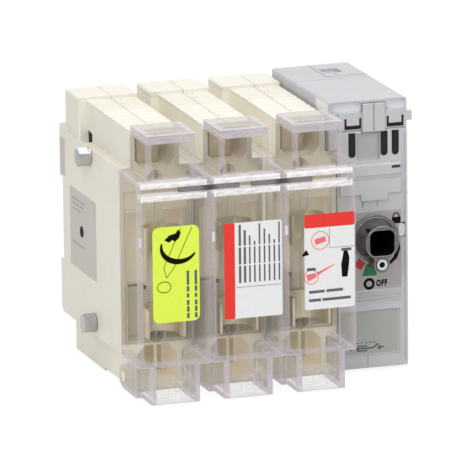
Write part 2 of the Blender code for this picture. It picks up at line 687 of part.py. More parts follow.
# Fuse clips: sprung sheet jaws with a tail that runs back to the front switch contact
def clip_outline():
    """Front-open jaw in plan view: a sheet bent round the fuse's ferrule, with flared lips."""
    centre = (0.0, FUSE_AXIS_Y)
    start = -CLIP_GRIP_ANGLE
    end = math.pi + CLIP_GRIP_ANGLE
    inner = arc(centre, FUSE_RADIUS, start, end, 16)
    outer = arc(centre, FUSE_RADIUS + CLIP_SHEET, end, start, 16)
    lip_x = inner[-1][0] - CLIP_LIP_SPREAD
    lip_y = inner[-1][1] - CLIP_LIP
    return ([(-lip_x, lip_y)] + inner + [(lip_x, lip_y), (lip_x - CLIP_SHEET, lip_y)]
            + outer + [(-lip_x + CLIP_SHEET, lip_y)])


def jaw_leaves(label, y_span, reach_z, root_z):
    """The two leaves of a switch jaw, one each side of the blade, from a copper strip."""
    inner = BLADE_SHEET / 2 + FIT_GAP
    return [box(f"{label}_leaf_{index}", span, y_span, between(reach_z, root_z))
            for index, span in enumerate(both_sides(inner, inner + JAW_SHEET))]


def fuse_clip(side, label):
    clip = prism(f"{label}_clip", clip_outline(), "XY", about(FUSE_Z + side * CLIP_OFFSET, CLIP_WIDTH))
    jaw_back = AXIS_Y - JAW_START
    jaw_front = jaw_back - JAW_LENGTH
    tail = box(f"{label}_tail", (-TAIL_WIDTH / 2, TAIL_WIDTH / 2),
               (FUSE_AXIS_Y + FUSE_RADIUS + CLIP_SHEET / 2, jaw_front + TAIL_LAP),
               about(strap_height(side), COPPER_SHEET))
    leaves = jaw_leaves(f"{label}_front_jaw", (jaw_front, jaw_back), AXIS_Z + side * JAW_REACH,
                        strap_height(side))
    return shaped(add(clip, tail, *leaves))


# Terminals: an upright plate in the trough, a strip to the back and the rear switch jaw
def terminal(side, label, far_end):
    strip_z = AXIS_Z + side * TERMINAL_STRIP_Z
    screw_z = AXIS_Z + side * SCREW_OFFSET
    pad_z = AXIS_Z + side * (TROUGH_OFFSET + PAD_MARGIN)
    jaw_front = AXIS_Y + JAW_START
    jaw_back = jaw_front + JAW_LENGTH
    across = (-PLATE_WIDTH / 2, PLATE_WIDTH / 2)
    strip = box(f"{label}_strip", across, (PLATE_FRONT, jaw_back), about(strip_z, COPPER_SHEET))
    plate = box(f"{label}_plate", across, (PLATE_FRONT, PLATE_BACK), between(strip_z, far_end))
    pad = box(f"{label}_pad", (across[0] + FIT_GAP, across[1] - FIT_GAP),
              (PLATE_FRONT - PAD_RAISE, PLATE_FRONT + PAD_RAISE), between(pad_z, far_end - side * FIT_GAP))
    leaves = jaw_leaves(f"{label}_rear_jaw", (jaw_front, jaw_back), AXIS_Z + side * JAW_REACH, strip_z)
    hole = cylinder(f"{label}_screw_hole", "Y", (0, 0, screw_z), TERMINAL_SCREW_STEM + FIT_GAP,
                    (PLATE_FRONT - OVERCUT, PLATE_BACK + OVERCUT), segments=16)
    return shaped(cut(add(strip, plate, pad, *leaves), hole))


def terminal_screw(label, height):
    """Socket-head clamping screw through the terminal plate."""
    head_back = PLATE_FRONT - FIT_GAP
    head_front = head_back - TERMINAL_SCREW_HEAD
    centre = (0, 0, height)
    head = cylinder(f"{label}_head", "Y", centre, TERMINAL_SCREW_RADIUS, (head_front, head_back), segments=20)
    stem = cylinder(f"{label}_stem", "Y", centre, TERMINAL_SCREW_STEM,
                    (head_back - OVERCUT, TROUGH_BACK - 2 * FIT_GAP), segments=16)
    socket = cylinder(f"{label}_socket", "Y", centre, TERMINAL_SCREW_SOCKET,
                      (head_front - OVERCUT, head_back - TERMINAL_SCREW_HEAD / 3), segments=6)
    return shaped(cut(add(head, stem), socket))


place_per_pole("upper_fuse_clip", fuse_clip(1, "upper"), TINNED)
place_per_pole("lower_fuse_clip", fuse_clip(-1, "lower"), TINNED)
place_per_pole("line_terminal", terminal(1, "line", UPPER_TROUGH_TOP - PLATE_END_GAP), COPPER)
place_per_pole("load_terminal", terminal(-1, "load", LOWER_TROUGH_FLOOR + PLATE_END_GAP), COPPER)
place_per_pole("line_screw", terminal_screw("line_screw", AXIS_Z + SCREW_OFFSET), ZINC)
place_per_pole("load_screw", terminal_screw("load_screw", AXIS_Z - SCREW_OFFSET), ZINC)


# Cross shaft body: square bar, three rotor drums with their blade pairs, and a bevel gear
shaft_pivot = (0.0, AXIS_Y, AXIS_Z)
shaft_frame = pivot_frame("cross_shaft_axis", shaft_pivot)
blade_spans = both_sides(BLADE_OFFSET - BLADE_HALF_WIDTH, BLADE_OFFSET + BLADE_HALF_WIDTH)


def square_bar(name, x_span, side):
    return box(name, x_span, about(AXIS_Y, side), about(AXIS_Z, side))


def rotor_drum():
    half = ROTOR_WIDTH / 2
    drum = cylinder("drum", "X", (0, AXIS_Y, AXIS_Z), ROTOR_RADIUS, (-half, half), segments=32)
    bore = square_bar("drum_bore", (-half - OVERCUT, half + OVERCUT), SHAFT_SIDE + 2 * FIT_GAP)
    inner_edge = BLADE_OFFSET - BLADE_HALF_WIDTH - FIT_GAP
    slots = [box(f"blade_slot_{index}", about(0.0, BLADE_SHEET + 2 * FIT_GAP),
                 (AXIS_Y + near, AXIS_Y + far), about(AXIS_Z, 2 * ROTOR_RADIUS))
             for index, (near, far) in enumerate(both_sides(inner_edge, 2 * ROTOR_RADIUS))]
    return shaped(cut(drum, bore, *slots))


def blade(near, far):
    return shaped(box("blade", about(0.0, BLADE_SHEET), (AXIS_Y + near, AXIS_Y + far),
                      about(AXIS_Z, 2 * BLADE_HALF_LENGTH), rounded=BLADE_ROUND, along="X"))


def bevel_gear(name, direction):
    """Straight bevel gear of the pair, its teeth drawn towards the crossing point of the axes."""
    apex = Vector((DRIVE_X, AXIS_Y, AXIS_Z))
    tooth = 2 * math.pi / GEAR_TEETH
    profile = ((-GEAR_ROOT_SHARE, -GEAR_ROOT_DROP), (-GEAR_TIP_SHARE, 1.0),
               (GEAR_TIP_SHARE, 1.0), (GEAR_ROOT_SHARE, -GEAR_ROOT_DROP))
    first = 0.5 if direction == "Y" else 0.0
    bm = bmesh.new()
    heel_verts = []
    for index in range(GEAR_TEETH):
        for share, height in profile:
            angle = (index + first + share) * tooth
            radius = GEAR_RADIUS + height * GEAR_TOOTH_HALF_DEPTH
            across = radius * math.cos(angle)
            up = radius * math.sin(angle)
            step = (across, -GEAR_RADIUS, up) if direction == "Y" else (-GEAR_RADIUS, across, up)
            heel_verts.append(bm.verts.new(apex + Vector(step)))
    heel = bm.faces.new(heel_verts)
    grown = bmesh.ops.extrude_face_region(bm, geom=[heel])
    toe_verts = [item for item in grown["geom"] if isinstance(item, bmesh.types.BMVert)]
    bmesh.ops.scale(bm, vec=(GEAR_TOE,) * 3, verts=toe_verts, space=Matrix.Translation(-apex))
    gear = solid(name, bm)
    side = SHAFT_SIDE + 2 * FIT_GAP
    if direction == "X":
        bore = square_bar(f"{name}_bore", (DRIVE_X - GEAR_RADIUS - OVERCUT, DRIVE_X), side)
    else:
        bore = box(f"{name}_bore", about(DRIVE_X, side), (AXIS_Y - GEAR_RADIUS - OVERCUT, AXIS_Y),
                   about(AXIS_Z, side))
    return shaped(cut(gear, bore))


shaft_bar = square_bar("cross_shaft", (SHAFT_START, DRIVE_X - GEAR_RADIUS * GEAR_TOE), SHAFT_SIDE)
place("cross_shaft", shaped(shaft_bar), ZINC, 0.0, shaft_pivot, shaft_frame)
place_per_pole("contact_rotor", rotor_drum(), BLACK, shaft_pivot, shaft_frame)
place_per_pole("front_blade", blade(*blade_spans[0]), COPPER, shaft_pivot, shaft_frame)
place_per_pole("rear_blade", blade(*blade_spans[1]), COPPER, shaft_pivot, shaft_frame)
place("shaft_bevel_gear", bevel_gear("shaft_bevel_gear", "X"), DARK_GREY, 0.0, shaft_pivot, shaft_frame)

# Drive body: die-cast socket, its clamping screw, the inner shaft and a bevel gear
drive_pivot = (DRIVE_X, SOCKET_FRONT, AXIS_Z)
drive_frame = pivot_frame("drive_axis", drive_pivot)
lobe_back = SOCKET_FRONT + LOBE_DEPTH


def drive_socket():
    centre = (DRIVE_X, 0, AXIS_Z)
    flange_back = MODULE_FRONT - FIT_GAP
    flange_front = flange_back - SOCKET_FLANGE
    rim = cylinder("socket_rim", "Y", centre, SOCKET_RADIUS, (SOCKET_FRONT, SOCKET_FRONT + SOCKET_RIM),
                   segments=36)
    neck = cylinder("socket_neck", "Y", centre, SOCKET_NECK_RADIUS,
                    (SOCKET_FRONT + SOCKET_RIM / 2, flange_front + SOCKET_FLANGE / 2), segments=36)
    skirt = cylinder("socket_skirt", "Y", centre, SOCKET_NECK_RADIUS,
                     (flange_front - SOCKET_SKIRT, flange_front + FIT_GAP), segments=36,
                     end_radius=SOCKET_FLANGE_RADIUS - SOCKET_SKIRT_INSET)
    flange = cylinder("socket_flange", "Y", centre, SOCKET_FLANGE_RADIUS, (flange_front, flange_back),
                      segments=36)
    hub = cylinder("socket_hub", "Y", centre, SOCKET_RADIUS, (flange_front + SOCKET_FLANGE / 2, HUB_END),
                   segments=36)
    lobe_span = (SOCKET_FRONT + LOBE_SETBACK, lobe_back)
    lobe = cylinder("socket_lobe", "Y", (DRIVE_X, 0, LOBE_Z), LOBE_RADIUS, lobe_span)
    web = box("socket_web", about(DRIVE_X, 2 * LOBE_RADIUS * WEB_SHARE), lobe_span, (LOBE_Z, AXIS_Z))
    add(rim, neck, skirt, flange, hub, lobe, web)
    hole = box("socket_hole", about(DRIVE_X, SOCKET_HOLE),
               (SOCKET_FRONT - OVERCUT, SOCKET_FRONT + SOCKET_DEPTH), about(AXIS_Z, SOCKET_HOLE),
               rounded=SOCKET_HOLE_ROUND, along="Y", segments=3)
    screw_hole = cylinder("set_screw_hole", "Y", (DRIVE_X, 0, LOBE_Z), SET_SCREW_RADIUS + FIT_GAP,
                          (SOCKET_FRONT, lobe_back - LOBE_FLOOR), segments=18)
    return shaped(cut(rim, hole, screw_hole))


def set_screw():
    centre = (DRIVE_X, 0, LOBE_Z)
    front = SOCKET_FRONT + SET_SCREW_SETBACK
    stem = cylinder("set_screw_stem", "Y", centre, SET_SCREW_RADIUS,
                    (front, lobe_back - LOBE_FLOOR - FIT_GAP), segments=18)
    socket = cylinder("set_screw_socket", "Y", centre, SET_SCREW_SOCKET,
                      (front - OVERCUT, front + SET_SCREW_SOCKET_DEPTH), segments=6)
    return shaped(cut(stem, socket))


def drive_shaft():
    centre = (DRIVE_X, 0, AXIS_Z)
    heel = AXIS_Y - GEAR_RADIUS
    head_back = HUB_END + DRIVE_SHAFT_HEAD
    head = cylinder("drive_shaft_head", "Y", centre, SOCKET_RADIUS, (HUB_END + FIT_GAP, head_back),
                    segments=28)
    rod = cylinder("drive_shaft_rod", "Y", centre, DRIVE_SHAFT_RADIUS, (head_back - OVERCUT, heel - FIT_GAP),
                   segments=28)
    tang = box("drive_shaft_tang", about(DRIVE_X, SHAFT_SIDE),
               (heel - TANG_ROOT, AXIS_Y - GEAR_RADIUS * GEAR_TOE), about(AXIS_Z, SHAFT_SIDE))
    return shaped(add(head, rod, tang))


place("drive_socket", drive_socket(), CAST_GREY, 0.0, drive_pivot, drive_frame)
place("set_screw", set_screw(), ZINC, 0.0, drive_pivot, drive_frame)
place("drive_shaft", drive_shaft(), ZINC, 0.0, drive_pivot, drive_frame)
place("drive_bevel_gear", bevel_gear("drive_bevel_gear", "Y"), DARK_GREY, 0.0, drive_pivot, drive_frame)


# Clear fuse covers, which open forward together about pins near the base
cover_pivot = (0.0, HINGE_Y, HINGE_Z)
cover_frame = pivot_frame("cover_hinge", cover_pivot)
cover_back = HOUSING_FRONT - FIT_GAP
half_lower = COVER_LOWER_WIDTH / 2
half_upper = HALF_COLUMN - COVER_GAP
ear_inner = HALF_COLUMN + FIT_GAP
ear_outer = ear_inner + COVER_WALL


def ear_outline():
    """Side view of a hinge ear: level top and bottom with a round end behind the pin."""
    round_end = arc((HINGE_Y, HINGE_Z), EAR_RADIUS, -math.pi / 2, math.pi / 2, 8)
    start = cover_back - OVERCUT
    return [(start, HINGE_Z - EAR_RADIUS)] + round_end + [(start, HINGE_Z + EAR_RADIUS)]


def fuse_cover(index):
    name = f"fuse_cover_{index + 1}"
    lap_top = SHOULDER_BOTTOM + COVER_LAP
    cover = box(name, (-HALF_POLE, HALF_POLE), (0.0, cover_back),
                (SHOULDER_BOTTOM + COVER_GAP, SHOULDER_TOP - COVER_GAP),
                rounded=EDGE_ROUND, along="Z", segments=2)
    upper = box(f"{name}_upper", (-half_upper, half_upper), (COVER_TOP_SETBACK, cover_back),
                (SHOULDER_TOP - COVER_LAP, COVER_TOP), rounded=EDGE_ROUND, along="Z", segments=2)
    lower = box(f"{name}_lower", (-half_lower, half_lower), (0.0, COVER_STEP_Y + COVER_WALL),
                (COVER_BASE, lap_top), rounded=EDGE_ROUND, along="Z", segments=2)
    cheeks = box(f"{name}_cheeks", (-ear_outer, ear_outer), (COVER_STEP_Y, cover_back), (COVER_BASE, lap_top))
    ears = [prism(f"{name}_ear_{number}", ear_outline(), "YZ", span)
            for number, span in enumerate(both_sides(ear_inner, ear_outer))]
    add(cover, upper, lower, cheeks, *ears)

    through = cover_back + OVERCUT
    hollow_half = HALF_POLE - COVER_WALL
    upper_half = half_upper - COVER_WALL
    lower_half = half_lower - COVER_WALL
    floor_top = COVER_BASE + COVER_WALL
    hollow_bottom = SHOULDER_BOTTOM + COVER_WALL
    hollow_top = SHOULDER_TOP - COVER_WALL
    hollows = [
        box(f"{name}_hollow", (-hollow_half, hollow_half), (COVER_WALL, through),
            (hollow_bottom, hollow_top)),
        box(f"{name}_upper_hollow", (-upper_half, upper_half), (COVER_TOP_SETBACK + COVER_WALL, through),
            (hollow_top - OVERCUT, COVER_TOP - COVER_TOP_SHEET)),
        box(f"{name}_lower_hollow", (-lower_half, lower_half),
            (COVER_WALL, COVER_STEP_Y + COVER_WALL + OVERCUT), (floor_top, hollow_bottom + OVERCUT)),
        box(f"{name}_cheek_hollow", (-ear_inner, ear_inner), (COVER_STEP_Y + COVER_WALL, through),
            (floor_top, hollow_bottom + OVERCUT)),
        box(f"{name}_floor_end", (-ear_inner, ear_inner), (COVER_FLOOR_BACK, through),
            (COVER_BASE - OVERCUT, floor_top + OVERCUT)),
        cylinder(f"{name}_pin_hole", "X", (0, HINGE_Y, HINGE_Z), HINGE_PIN_RADIUS + FIT_GAP,
                 (-ear_outer - OVERCUT, ear_outer + OVERCUT), segments=16),
    ]
    cut(cover, *hollows)

    grip_half = HALF_POLE - GRIP_SIDE
    add(cover, box(f"{name}_grip", (-grip_half, grip_half), (GRIP_FRONT, GRIP_DEPTH),
                   (GRIP_BOTTOM, SHOULDER_TOP - GRIP_FRONT)))
    left_end = -HALF_POLE - OVERCUT if index > 0 else -grip_half
    right_end = HALF_POLE + OVERCUT if index < POLE_COUNT - 1 else grip_half
    cut(cover, box(f"{name}_grip_slot", (left_end, right_end), (-OVERCUT, GRIP_SLOT_DEPTH),
                   (GRIP_SLOT_BOTTOM, GRIP_SLOT_TOP)))
    half_breakout = BREAKOUT_WIDTH / 2
    arch = arc((0.0, BREAKOUT_TOP - half_breakout), half_breakout, 0.0, math.pi, 8)
    breakout = [(half_breakout, BREAKOUT_FOOT)] + arch + [(-half_breakout, BREAKOUT_FOOT)]
    add(cover, prism(f"{name}_breakout", breakout, "XZ",
                     (COVER_WALL - BREAKOUT_RELIEF, COVER_WALL + BREAKOUT_RELIEF)))
    return shaped(cover)


for index in range(POLE_COUNT):
    place(f"fuse_cover_{index + 1}", fuse_cover(index), CLEAR, pole_centre(index), cover_pivot, cover_frame)

link_back = GRIP_SLOT_DEPTH - FIT_GAP
for index in range(POLE_COUNT - 1):
    link = box("cover_link", about(0.0, LINK_LENGTH), (link_back - LINK_DEPTH, link_back),
               (GRIP_SLOT_BOTTOM + FIT_GAP, GRIP_SLOT_TOP - LINK_TOP_GAP), rounded=EDGE_ROUND / 2, along="X")
    place(f"cover_link_{index + 1}", shaped(link), DARK_GREY, POLE_PITCH * (index + 1),
          cover_pivot, cover_frame)


# Mechanism module: front casing, rear casing with feet, strap and lock tab
def module_outline(inset):
    """Front view of the module, stepped out to the left above the poles' shoulders."""
    step_z = SHOULDER_TOP + FIT_GAP + inset
    left = MODULE_TOP_LEFT + inset
    right = MODULE_RIGHT - inset
    top = MODULE_TOP - inset
    return ([(MODULE_LEFT + inset, MODULE_BASE + inset), (right, MODULE_BASE + inset)]
            + arc((right - MODULE_ROUND, top - MODULE_ROUND), MODULE_ROUND, 0.0, math.pi / 2, 3)
            + arc((left + MODULE_ROUND, top - MODULE_ROUND), MODULE_ROUND, math.pi / 2, math.pi, 3)
            + [(left, step_z), (MODULE_LEFT + inset, step_z)])


def module_side_holes(label):
    """Holes in the module's left wall for the tie bolts and the cross shaft."""
    wall = (MODULE_LEFT - OVERCUT, MODULE_LEFT + MODULE_WALL + OVERCUT)
    holes = [cylinder(f"{label}_bolt_hole_{index}", "X", (0, *centre), BOLT_RADIUS + FIT_GAP, wall,
                      segments=16)
             for index, centre in enumerate((UPPER_BOLT, LOWER_BOLT))]
    return holes + [cylinder(f"{label}_shaft_hole", "X", (0, AXIS_Y, AXIS_Z), SHAFT_BORE, wall)]


def front_casing():
    casing = prism("front_casing", module_outline(0.0), "XZ", (MODULE_FRONT, MODULE_SPLIT - FIT_GAP))
    skin = (MODULE_FRONT - SKIN_STEP, MODULE_FRONT + SKIN_ROOT)
    block_top = BLOCK_BOTTOM + BLOCK_HEIGHT
    block_left = MODULE_LEFT + BLOCK_LEFT_MARGIN
    block_right = MODULE_RIGHT - BLOCK_RIGHT_MARGIN
    ridge_bottom = MODULE_BASE + RIDGE_BOTTOM_RISE
    add(casing,
        box("lower_block", (block_left, block_right), skin, (BLOCK_BOTTOM, block_top),
            rounded=EDGE_ROUND, along="X"),
        box("lower_tongue", about(DRIVE_X, 2 * TONGUE_HALF_WIDTH), skin,
            (BLOCK_BOTTOM - TONGUE_DROP, BLOCK_BOTTOM + OVERCUT)),
        box("side_rib", (MODULE_RIGHT - SIDE_RIB_WIDTH, MODULE_RIGHT),
            (MODULE_FRONT - SKIN_STEP / 2, MODULE_FRONT + SKIN_ROOT),
            (MODULE_BASE + SIDE_RIB_MARGIN, STRAP_BOTTOM - SIDE_RIB_MARGIN)),
        *[box(f"ridge_{number}", (MODULE_LEFT, block_right),
              (MODULE_FRONT - RIDGE_RAISE, MODULE_FRONT + SKIN_ROOT),
              (ridge_bottom + number * RIDGE_PITCH, ridge_bottom + number * RIDGE_PITCH + RIDGE_HEIGHT))
          for number in range(3)])

    open_front = MODULE_FRONT - 2 * OVERCUT
    seat_back = MODULE_FRONT + STRAP_SHEET + FIT_GAP
    recess_bottom = STRAP_TOP + FIT_GAP
    block_reach = STRAP_BLOCK_WIDTH / 2 + EDGE_ROUND
    cuts = [
        prism("front_hollow", module_outline(MODULE_WALL), "XZ",
              (MODULE_FRONT + MODULE_FACE, MODULE_SPLIT + OVERCUT)),
        box("upper_left_recess", (MODULE_TOP_LEFT + RECESS_LEFT_INSET, DRIVE_X - block_reach),
            (open_front, MODULE_FRONT + RECESS_DEPTH), (recess_bottom, MODULE_TOP - RECESS_MARGIN)),
        box("upper_right_recess", (DRIVE_X + block_reach, MODULE_RIGHT - RECESS_MARGIN),
            (open_front, MODULE_FRONT + RECESS_DEPTH), (recess_bottom, MODULE_TOP - RECESS_MARGIN)),
        box("strap_seat", (MODULE_LEFT + FIT_GAP, MODULE_RIGHT + OVERCUT), (open_front, seat_back),
            (STRAP_BOTTOM - FIT_GAP, STRAP_TOP + FIT_GAP)),
        box("block_seat", about(DRIVE_X, STRAP_BLOCK_WIDTH + 2 * FIT_GAP), (open_front, seat_back),
            (STRAP_BLOCK_BOTTOM - FIT_GAP, STRAP_BLOCK_TOP + FIT_GAP)),
        box("centre_panel", (DRIVE_X + SLOT_CENTRES[0] + SLOT_WIDTH / 2 + PANEL_MARGIN,
                             DRIVE_X + SLOT_CENTRES[1] - SLOT_WIDTH / 2 - PANEL_MARGIN),
            (open_front, MODULE_FRONT + SKIN_STEP), (SLOT_TOP - PANEL_HEIGHT, SLOT_TOP - PANEL_MARGIN)),
        box("release_slot", (DRIVE_X + RELEASE_START, DRIVE_X + RELEASE_START + RELEASE_WIDTH),
            (open_front, MODULE_FRONT + SLOT_DEPTH),
            (BLOCK_BOTTOM + RELEASE_RISE, BLOCK_BOTTOM + RELEASE_RISE + RELEASE_HEIGHT)),
        box("block_groove", (MODULE_LEFT, block_right + OVERCUT),
            (open_front, MODULE_FRONT - SKIN_STEP + BLOCK_GROOVE_DEPTH),
            (BLOCK_BOTTOM + BLOCK_GROOVE_RISE, BLOCK_BOTTOM + BLOCK_GROOVE_RISE + BLOCK_GROOVE_HEIGHT)),
        cylinder("drive_hole", "Y", (DRIVE_X, 0, AXIS_Z), SOCKET_RADIUS + FIT_GAP,
                 (open_front, MODULE_FRONT + MODULE_FACE + OVERCUT), segments=36),
        box("lock_tab_hole", about(DRIVE_X + LOCK_TAB_OFFSET, LOCK_TAB_WIDTH + 2 * FIT_GAP),
            (open_front, MODULE_FRONT + LOCK_TAB_LENGTH), about(LOCK_TAB_Z, LOCK_TAB_HEIGHT + 2 * FIT_GAP)),
        box("plate_recess", (MODULE_LEFT + RECESS_MARGIN, MODULE_RIGHT - PLATE_RIGHT_MARGIN),
            (open_front, MODULE_FRONT + PLATE_RECESS),
            (MODULE_BASE + PLATE_BOTTOM_RISE, MODULE_BASE + PLATE_BOTTOM_RISE + PLATE_HEIGHT)),
    ]
    slot_half = SLOT_WIDTH / 2
    for number, offset in enumerate(SLOT_CENTRES):
        middle = DRIVE_X + offset
        outline = [(middle + slot_half, SLOT_TOP), (middle - slot_half, SLOT_TOP)]
        outline += arc((middle, SLOT_TOP - SLOT_HEIGHT + slot_half), slot_half, math.pi, 2 * math.pi, 6)
        cuts.append(prism(f"front_slot_{number}", outline, "XZ", (open_front, MODULE_FRONT + SLOT_DEPTH)))
    return shaped(cut(casing, *cuts, *module_side_holes("front")))


def rear_casing():
    casing = prism("rear_casing", module_outline(0.0), "XZ", (MODULE_SPLIT, MODULE_BACK))
    hollow = prism("rear_hollow", module_outline(MODULE_WALL), "XZ",
                   (MODULE_SPLIT - OVERCUT, MODULE_BACK - MODULE_WALL))
    raised = box("raised_top", (DRIVE_X - TOP_RAISED_LEFT, MODULE_RIGHT - MODULE_ROUND),
                 (MODULE_SPLIT + TOP_RAISED_FRONT, MODULE_BACK - EDGE_ROUND),
                 (MODULE_TOP - OVERCUT, MODULE_TOP + MODULE_RAISE))
    feet = [box(f"module_foot_{index}", (MODULE_LEFT, MODULE_RIGHT), (MODULE_BACK - OVERCUT, FOOT_BACK),
                span, rounded=FOOT_CHAMFER / 2, along="X")
            for index, span in enumerate(((RAIL_TOP, SHOULDER_TOP), (LOWER_FOOT_BOTTOM, RAIL_BOTTOM)))]
    add(casing, raised, *feet)
    pocket_x = (DRIVE_X - POCKET_LEFT, DRIVE_X - POCKET_LEFT + POCKET_SIZE)
    pocket_y = (MODULE_SPLIT + POCKET_FRONT, MODULE_SPLIT + POCKET_FRONT + POCKET_SIZE)
    above = MODULE_TOP + MODULE_RAISE + OVERCUT
    pocket = box("top_pocket", pocket_x, pocket_y, (MODULE_TOP - POCKET_DEPTH, above))
    pocket_slot = box("top_pocket_slot", (pocket_x[0] + POCKET_SLOT_INSET, pocket_x[1] - POCKET_SLOT_INSET),
                      (pocket_y[0] + POCKET_SLOT_INSET, pocket_y[0] + POCKET_SLOT_INSET + POCKET_SLOT_LENGTH),
                      (MODULE_TOP - 2 * MODULE_WALL, above))
    dimple = cylinder("top_dimple", "Z", ((pocket_x[0] + pocket_x[1]) / 2, pocket_y[0] - DIMPLE_AHEAD, 0),
                      DIMPLE_RADIUS, (MODULE_TOP + MODULE_RAISE - DIMPLE_DEPTH, above), segments=12)
    return shaped(cut(casing, hollow, pocket, pocket_slot, dimple, *module_side_holes("rear")))


def top_strap():
    """Cross strap with two sprung tongues, an end tab and the divided block at its middle."""
    front = MODULE_FRONT
    back = front + STRAP_SHEET
    through = (front - OVERCUT, back + OVERCUT)
    strap = box("top_strap", (MODULE_LEFT + STRAP_LEFT_MARGIN, MODULE_RIGHT), (front, back),
                (STRAP_BOTTOM, STRAP_TOP), rounded=STRAP_ROUND, along="Z")
    block = box("strap_block", about(DRIVE_X, STRAP_BLOCK_WIDTH), (front - STRAP_BLOCK_PROUD, back),
                (STRAP_BLOCK_BOTTOM, STRAP_BLOCK_TOP), rounded=STRAP_ROUND, along="X")
    tab_bottom = STRAP_BOTTOM + STRAP_TAB_RISE
    tab = box("strap_tab", (MODULE_RIGHT - STRAP_TAB_OUTREACH, STRAP_TAB_RIGHT),
              (front - STRAP_ROUND, back - STRAP_ROUND), (tab_bottom, tab_bottom + STRAP_TAB_HEIGHT))
    add(strap, block, tab)
    bar = (STRAP_BOTTOM + SPRING_BAR_RISE, STRAP_BOTTOM + SPRING_BAR_RISE + SPRING_BAR_HEIGHT)
    slit = (bar[0] + SPRING_BAR_RISE, STRAP_BOTTOM + SPRING_SLIT_TOP)
    cuts = [box("block_part_line", about(DRIVE_X, PART_LINE_WIDTH),
                (front - 2 * OVERCUT, front - STRAP_BLOCK_PROUD + PART_LINE_WIDTH),
                (STRAP_BLOCK_BOTTOM - OVERCUT, STRAP_BLOCK_TOP + OVERCUT))]
    for number, offset in enumerate(TONGUE_CENTRES):
        left, right = about(DRIVE_X + offset, SPRING_WIDTH)
        cuts.append(box(f"spring_bar_{number}", (left, right), through, bar))
        cuts.append(box(f"spring_left_{number}", (left, left + SPRING_SLIT), through, slit))
        cuts.append(box(f"spring_right_{number}", (right - SPRING_SLIT, right), through, slit))
    return shaped(cut(strap, *cuts))


def lock_tab():
    """Pull-out tab whose cross hole takes a padlock once it stands proud of the panel."""
    middle = DRIVE_X + LOCK_TAB_OFFSET
    front = MODULE_FRONT - LOCK_TAB_PROUD
    tab = box("lock_tab", about(middle, LOCK_TAB_WIDTH), (front, front + LOCK_TAB_LENGTH),
              about(LOCK_TAB_Z, LOCK_TAB_HEIGHT), rounded=LOCK_TAB_ROUND, along="Y", segments=3)
    eye = cylinder("lock_tab_eye", "X", (0, MODULE_FRONT + LOCK_TAB_EYE_DEPTH, LOCK_TAB_Z), LOCK_TAB_EYE,
                   about(middle, 2 * LOCK_TAB_WIDTH), segments=16)
    return shaped(cut(tab, eye))


place("module_front_casing", front_casing(), LIGHT_GREY)
place("module_rear_casing", rear_casing(), LIGHT_GREY)
place("top_strap", top_strap(), LIGHT_GREY)
place("lock_tab", lock_tab(), TAB_GREY, 0.0, (DRIVE_X + LOCK_TAB_OFFSET, MODULE_FRONT, LOCK_TAB_Z))


# Tie bolts through the poles into the module, with their nuts
bolt_face = -FIT_GAP / 2
nut_start = MODULE_LEFT + MODULE_WALL + FIT_GAP
hex_radius = BOLT_HEAD_FLATS / math.sqrt(3)


def tie_bolt(label, centre):
    line = (0, *centre)
    head = cylinder(f"{label}_bolt_head", "X", line, hex_radius, (BOLT_START, bolt_face - BOLT_WASHER / 2),
                    segments=6, turn=math.pi / 6)
    washer = cylinder(f"{label}_bolt_washer", "X", line, BOLT_WASHER_RADIUS,
                      (bolt_face - BOLT_WASHER, bolt_face))
    rod = cylinder(f"{label}_bolt_rod", "X", line, BOLT_RADIUS,
                   (bolt_face - BOLT_WASHER / 2, nut_start + NUT_HEIGHT + FIT_GAP), segments=16)
    return shaped(add(head, washer, rod))


def tie_nut(label, centre):
    line = (0, *centre)
    nut = cylinder(f"{label}_nut", "X", line, hex_radius, (nut_start, nut_start + NUT_HEIGHT), segments=6)
    bore = cylinder(f"{label}_nut_bore", "X", line, BOLT_RADIUS + FIT_GAP,
                    (nut_start - OVERCUT, nut_start + NUT_HEIGHT + OVERCUT), segments=16)
    return shaped(cut(nut, bore))


for label, centre in (("upper", UPPER_BOLT), ("lower", LOWER_BOLT)):
    place(f"{label}_tie_bolt", tie_bolt(label, centre), ZINC)
    place(f"{label}_tie_nut", tie_nut(label, centre), ZINC)
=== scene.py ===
import json
import math

import bmesh
import bpy
from mathutils import Matrix, Vector


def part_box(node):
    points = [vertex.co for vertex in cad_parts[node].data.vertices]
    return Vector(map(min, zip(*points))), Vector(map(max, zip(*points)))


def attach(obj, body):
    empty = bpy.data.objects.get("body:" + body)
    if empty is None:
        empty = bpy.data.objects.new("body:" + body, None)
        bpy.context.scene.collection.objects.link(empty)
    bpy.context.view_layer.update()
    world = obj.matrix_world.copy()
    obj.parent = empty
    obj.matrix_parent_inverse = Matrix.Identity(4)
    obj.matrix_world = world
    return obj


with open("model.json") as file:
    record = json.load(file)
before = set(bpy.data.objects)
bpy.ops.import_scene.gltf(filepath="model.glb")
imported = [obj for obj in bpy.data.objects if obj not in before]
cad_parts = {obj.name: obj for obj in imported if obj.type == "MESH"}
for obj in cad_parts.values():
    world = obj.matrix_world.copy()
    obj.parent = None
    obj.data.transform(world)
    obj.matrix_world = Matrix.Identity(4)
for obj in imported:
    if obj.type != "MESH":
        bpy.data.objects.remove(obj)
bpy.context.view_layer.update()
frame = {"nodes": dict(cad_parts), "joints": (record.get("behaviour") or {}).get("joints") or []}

# Camera. A long lens a little to the left of the front and a little above it, as the
# photograph was taken, aimed past the middle of the poles.
pole_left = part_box("pole_left_shell_1")[0].x
cover_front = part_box("fuse_cover_1")[0].y
middle = Vector((pole_left + 0.0611, cover_front + 0.0394, 0.0569))
turn, tilt, roll = math.radians(18.13), math.radians(13.41), math.radians(-0.62)
distance, aim_left, aim_up = 3.0233, 0.0062, 0.0020
toward = Vector((-math.sin(turn) * math.cos(tilt), -math.cos(turn) * math.cos(tilt), math.sin(tilt)))
